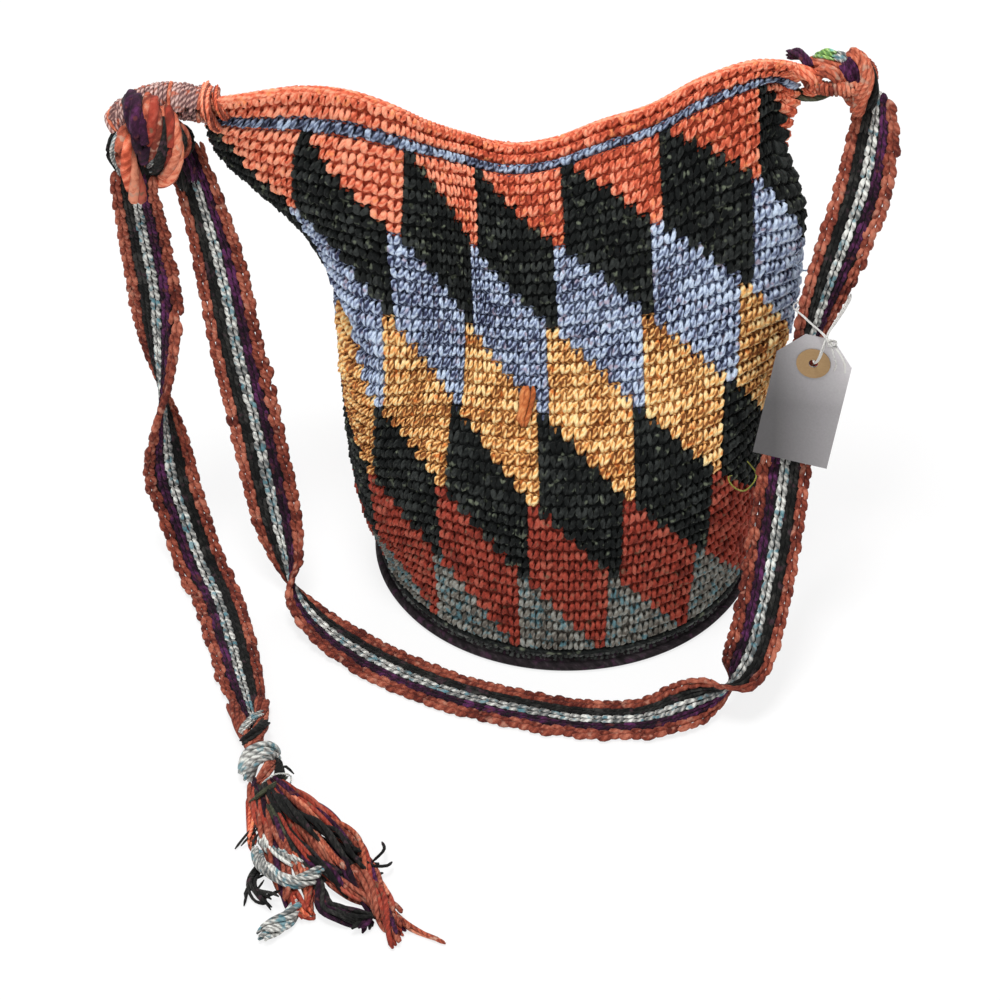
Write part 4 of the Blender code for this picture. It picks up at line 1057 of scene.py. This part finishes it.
FRINGE_ROPES = (
    (WARM, 6.4, 15,
     ((258, 782, 8), (276, 804, 9), (306, 834, 8), (346, 872, 6), (382, 908, 4), (405, 943, 3)), LOOSE),
    (("knot_orange", "rust", "strap_purple", "strap_orange"), 4.6, 10,
     ((268, 782, 10), (290, 800, 12), (326, 822, 11), (357, 846, 9), (376, 884, 6), (392, 924, 3)), LOOSE),
    (("knot_orange", "strap_orange", "knot_orange"), 1.9, 4,
     ((300, 812, 12), (333, 856, 12), (366, 884, 8), (404, 922, 3),
      (447, 944, 1)), {"lay": 70.0, "trim": 0.16, "wave": 1.0}),
    (("strap_purple", "strap_purple", "rust"), 4.2, 10,
     ((272, 780, 10), (290, 792, 13), (314, 806, 11), (336, 826, 8), (352, 848, 5)), LOOSE),
    ("strap_pine", 4.0, 9,
     ((262, 786, 11), (288, 810, 15), (322, 832, 15), (352, 852, 13), (378, 864, 9),
      (392, 860, 8)), RAGGED),
    (("strap_pine", "strap_purple"), 5.0, 11,
     ((258, 792, 7), (276, 826, 9), (304, 860, 8), (334, 876, 7), (358, 898, 4)), LOOSE),
    (("olive", "strap_pine", "rust"), 3.2, 8,
     ((270, 806, 11), (290, 836, 12), (318, 864, 10), (342, 882, 7)), LOOSE),
    (WARM, 5.0, 11, ((254, 786, 5), (260, 816, 6), (274, 852, 6), (288, 888, 5), (296, 918, 3)), LOOSE),
    (("strap_orange", "rust", "knot_orange"), 4.0, 9,
     ((256, 790, 7), (268, 822, 9), (294, 858, 9), (310, 890, 6), (312, 920, 3)), LOOSE),
    (("coral", "rust"), 2.6, 6, ((250, 800, 4), (252, 826, 4), (250, 850, 3)), LOOSE),
    ("strap_white", 3.7, 9,
     ((256, 850, 6), (263, 866, 10), (284, 880, 12), (306, 880, 12),
      (326, 866, 10)), {"lay": 60.0, "fray": 0.5, "trim": 0.15}),
    ("strap_white", 3.4, 8, ((262, 838, 6), (272, 850, 8), (292, 860, 11), (306, 868, 10)), LOOSE),
    ("strap_white", 4.6, 11,
     ((300, 904, 5), (286, 920, 4), (272, 929, 4),
      (258, 938, 4)), {"lay": 60.0, "fray": 0.7, "trim": 0.16}),
    (("strap_purple", "strap_pine"), 4.4, 9,
     ((300, 866, 5), (318, 886, 7), (324, 908, 5), (344, 914, 6), (368, 921, 4), (357, 936, 3)), LOOSE),
    ("strap_pine", 2.6, 6,
     ((318, 880, 4), (330, 906, 4), (352, 916, 8), (372, 916, 5), (366, 930, 3)), RAGGED),
    (WARM, 4.4, 10, ((330, 880, 5), (352, 892, 6), (376, 904, 5), (400, 938, 3)), LOOSE),
    (("rust", "coral"), 4.0, 9, ((276, 870, 4), (288, 892, 5), (303, 912, 4), (314, 919, 3)), LOOSE),
    ("strap_pine", 2.6, 7, ((258, 868, 4), (252, 884, 5), (262, 896, 5), (284, 904, 4)), RAGGED),
    ("strap_pine", 0.8, 1, ((262, 822, 6), (250, 831, 5), (242, 840, 3), (235, 849, 1))),
    ("strap_pine", 0.7, 1, ((260, 826, 6), (248, 838, 5), (241, 846, 2))),
    ("strap_pine", 0.8, 1, ((260, 832, 6), (253, 842, 5), (254, 852, 3))),
    ("strap_pine", 0.8, 1, ((266, 874, 6), (250, 882, 5), (247, 893, 3), (244, 906, 1))),
    ("strap_pine", 0.7, 1, ((264, 880, 6), (256, 890, 5), (246, 889, 3), (245, 898, 1))),
    ("strap_pine", 0.8, 1, ((262, 890, 5), (266, 902, 3), (271, 910, 1))),
    ("strap_pine", 0.9, 1, ((372, 862, 8), (384, 850, 9), (382, 842, 6))),
    ("strap_pine", 0.9, 1, ((370, 866, 8), (386, 866, 8), (392, 862, 5))),
)


def make_tassel():
    lay_ropes("gather", GATHER_ROPES, over_floor, "tassel_whipping", FLOOR_GAP)
    names = [f"fringe_yarn_{i}" for i in range(1, 10)]
    lay_ropes("fringe", FRINGE_ROPES, over_floor, names, FLOOR_GAP)


def wall_spot(px, py, out):
    """The place on the wall, out millimetres off it, that shows nearest to a pixel of the picture."""
    ray = WALL_SURFACE.places - np.array(CAMERA_PLACE)
    depth = ray @ CAMERA_AHEAD
    x = PICTURE_MIDDLE + FOCAL_PIXELS * ray[..., 0] / depth
    y = PICTURE_MIDDLE - FOCAL_PIXELS * (ray @ CAMERA_UP) / depth
    off = (x - px) ** 2 + (y - py) ** 2 + np.where((ray * WALL_SURFACE.normals).sum(-1) < 0, 0, 1e6)
    spot = np.unravel_index(np.argmin(off), off.shape)
    return WALL_SURFACE.places[spot] + WALL_SURFACE.normals[spot] * out


# Mends and loose threads on the wall; the third number of a place is how far it stands off
MENDS = (
    ("mend", 1.5, 1, ((532, 386, 1.0), (533, 396, 2.4), (531, 408, 2.4), (527, 418, 2.4), (525, 427, 1.0))),
    ("mend", 1.6, 1, ((528, 385, 1.0), (528, 396, 3.2), (526, 408, 3.2), (523, 417, 3.0), (522, 426, 1.0))),
    ("mend", 1.5, 1, ((524, 387, 1.0), (523, 397, 2.4), (521, 408, 2.6), (519, 416, 2.4), (520, 424, 1.0))),
    ("slate", 0.6, 1, ((423, 326, 1.5), (426, 334, 4), (421, 340, 4), (424, 347, 4), (418, 351, 1.5))),
    ("lime_thread", 0.45, 1,
     ((744, 461, 1.5), (748, 474, 5), (738, 486, 5), (727, 485, 5), (724, 477, 3), (731, 474, 1.5))),
    ("slate", 0.5, 1, ((790, 262, 1.5), (796, 268, 5), (799, 262, 7))),
)


def make_knots():
    lay_ropes("loose", MENDS, wall_spot, "crochet_body")
    lay_ropes("knot", KNOT_ROPES, at_depth, "shoulder_strap")
    lay_ropes("ear", EAR_ROPES, at_depth, "right_rim_loop")


def make_rim_roll():
    """The chain that finishes the mouth: three yarns that twist along its top edge."""
    u = np.linspace(0, STITCHES, STITCHES * 5 + 1)
    runs = []
    for ply in range(3):
        angle = math.tau * (u / 1.6 + ply / 3)
        places = WALL_SURFACE.at(u, ROWS - 0.12 + 0.17 * np.sin(angle), -2.3 + 1.35 * np.cos(angle))
        runs.append((places, 1.45))
    yarn_runs("rim_roll", runs, "coral", "crochet_body")


# Rolls round the foot as (distance from the middle, height, radius)
FOOT_ROLLS = ((105.8, 2.7, 2.5), (101.6, 3.4, 3.2))


def make_base_roll():
    """The dark rolls at the foot of the wall, and the dark line above the border's rows."""
    angle = np.linspace(-math.pi, math.pi, 241)
    round_base = np.stack([np.sin(angle), -np.cos(angle), np.zeros_like(angle)], -1)
    runs = [((round_base * reach + (0, 0, lift)) * MM, radius) for reach, lift, radius in FOOT_ROLLS]
    yarn_runs("foot_roll", runs, "foot_dark", "crochet_body")
    u = np.linspace(0, STITCHES, 241)
    places = WALL_SURFACE.at(u, np.full_like(u, BOTTOM_ROWS - 0.1), np.full_like(u, 0.1))
    yarn_runs("border_line", [(places, 1.4)], "pine", "crochet_body")


def purl_bump():
    """One bump of the fabric's inner face, which also makes up the bottom's rounds."""
    return pattern_of([(((-3.7, -0.9, 0), (-1.3, 0.3, 0.9), (1.3, 0.5, 0.9), (3.7, -0.6, 0)),
                        (1.5, 2.0, 2.0, 1.5), 4, 1.0)])


def inner_face(flat, cells):
    return WALL_SURFACE.at(cells[:, 0:1] + 0.5 + flat[..., 0] / STITCH_WIDTH,
                           cells[:, 1:2] + 0.5 + flat[..., 1] / ROW_HEIGHT, INNER_OUT - flat[..., 2])


def on_bottom(flat, cells):
    """Bends bumps onto one face of the bottom; a cell is its distance, its angle and its height."""
    radius = cells[:, 0:1] + flat[..., 1] * 1.45
    angle = cells[:, 1:2] + flat[..., 0] * 1.4 / np.maximum(cells[:, 0:1], 5)
    side = np.where(cells[:, 2:3] < 3, -1.0, 1.0)
    height = np.maximum(cells[:, 2:3] + side * flat[..., 2] * 0.7, 0.25)
    return np.stack([radius * np.cos(angle), radius * np.sin(angle), height], -1) * MM


def make_inside():
    """The inner face of the wall and both faces of the bottom, in the same yarns as outside."""
    bump = purl_bump()
    for colour, places in stitches_by_colour(1).items():
        tones = np.clip(0.45 + 0.2 * RNG.normal(0, 1, (len(places), 1)), 0, 1)
        made = lay_out("inside_" + colour, bump, places, inner_face, tones, yarn_material(colour),
                       "crochet_body")
        made.data.flip_normals()
    rings = []
    for k in range(10):
        radius = 97.0 - 10.2 * k
        count = max(5, round(math.tau * radius / 9.5))
        rings += [(radius, math.tau * i / count, height) for i in range(count) for height in (2.0, 4.4)]
    tones = np.clip(0.45 + 0.2 * RNG.normal(0, 1, (len(rings), 1)), 0, 1)
    lay_out("bottom_rings", bump, np.array(rings), on_bottom, tones, yarn_material("pine"),
            "crochet_body")
    bm = bmesh.new()
    bmesh.ops.create_cone(bm, cap_ends=True, segments=64, radius1=0.1005, radius2=0.1005, depth=0.0028,
                          matrix=Matrix.Translation((0, 0, 0.0032)))
    mesh = mesh_from(bm, "bottom_core")
    mesh.materials.append(yarn_material("pine"))
    add_piece("bottom_core", mesh, "crochet_body", smooth=False)


# Where the painted shade on the tag, darker to the left and lower down, begins and ends, in metres
TAG_SHADE_REACH_X = (0.112, 0.150)
TAG_SHADE_REACH_Z = (0.162, 0.214)


def card_material(name, dark, pale, across_tag, up_tag):
    """Grained card with painted shade that changes across and up the tag, each from one share of it to
    another.
    """
    made, shader = new_material(name, {"Roughness": 0.85})
    tree = made.node_tree
    place = add_node(tree, "ShaderNodeTexCoord").outputs["Object"]
    grain = add_node(tree, "ShaderNodeTexNoise", {"Scale": 900, "Vector": place})
    mix = add_node(tree, "ShaderNodeMix", {"Factor": grain.outputs["Fac"], "A": dark, "B": pale},
                   data_type="RGBA")
    axes = add_node(tree, "ShaderNodeSeparateXYZ", {0: place}).outputs
    shares = []
    for value, reach, change in ((axes["X"], TAG_SHADE_REACH_X, across_tag), (axes["Z"], TAG_SHADE_REACH_Z, up_tag)):
        shares.append(add_node(tree, "ShaderNodeMapRange", {
            "Value": value, "From Min": reach[0], "From Max": reach[1],
            "To Min": change[0], "To Max": change[1]}).outputs["Result"])
    both = add_node(tree, "ShaderNodeMath", dict(enumerate(shares)), operation="MULTIPLY")
    toned = add_node(tree, "ShaderNodeVectorMath", {0: mix.outputs["Result"], "Scale": both.outputs[0]},
                     operation="SCALE")
    tree.links.new(toned.outputs["Vector"], shader.inputs["Base Color"])
    return made


def make_tag():
    # The card's grey ground is partly painted shade, and the falls across and up both cards are painted
    # shade
    card = card_material("tag_card", (0.43, 0.41, 0.42, 1), (0.53, 0.51, 0.52, 1),
                         (0.22, 0.80), (0.85, 1.95))
    tan = card_material("tag_ring_card", (0.38, 0.23, 0.10, 1), (0.50, 0.32, 0.15, 1),
                        (0.70, 0.80), (0.85, 1.0))
    for node, finish in (("hang_tag", card), ("tag_ring", tan)):
        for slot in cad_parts[node].material_slots:
            slot.material = finish


def make_tag_string():
    line = frames_along(STRING_PATH, [(0.3, 1, 0.2)] * len(STRING_PATH), 2)
    curve = bpy.data.curves.new("tie_string", "CURVE")
    curve.dimensions = "3D"
    curve.bevel_depth = 0.6 * MM
    curve.bevel_resolution = 2
    curve.use_fill_caps = True
    route = curve.splines.new("POLY")
    route.points.add(len(line["places"]) - 1)
    for point, place in zip(route.points, line["places"]):
        point.co = (*(place * MM), 1.0)
    cotton, _ = new_material("string_cotton", {"Base Color": (0.66, 0.65, 0.62, 1), "Roughness": 0.85})
    curve.materials.append(cotton)
    made = bpy.data.objects.new("tie_string", curve)
    bpy.context.scene.collection.objects.link(made)
    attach(made, "root")
    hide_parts("tag_string")


def make_string_knot():
    """The other half of the doubled string, and the knot that ties both halves above the hole."""
    knot = [(140.5 + 2.2 * math.cos(t), -75.6 + 1.4 * math.sin(t), 209 + 1.6 * math.sin(t * 0.5 + 1))
            for t in np.linspace(0, 2 * math.tau, 22)]
    front = [(142, -76, 191), (143, -78, 197), (141.5, -78, 203), (140, -76.5, 208), (135, -71, 213),
             (129, -62, 213), (124, -52, 211.5), (121, -45, 209.8), (123, -39.5, 208.8),
             (131, -35.5, 208.6), (140, -32, 208.4)]
    back = [(152.6, -31, 208), (152, -36, 208), (148, -47, 209), (143, -60, 211.5), (138.6, -70, 212.6),
            (135.2, -76, 207), (133.3, -76.5, 200), (131.6, -74.4, 195)]
    runs = []
    for path in (knot, front, back):
        line = frames_along(path, [(0.31, 0.22, 0.92)] * len(path), 3)
        runs.append((line["places"] * MM, 0.55))
    yarn_runs("string_knot", runs, "string_yarn", "tag_string")


make_stage()
make_tag_string()
make_string_knot()
make_wall()
make_lining()
make_strap()
make_loops()
make_knots()
make_rim_roll()
make_base_roll()
make_inside()
make_tassel()
make_tag()
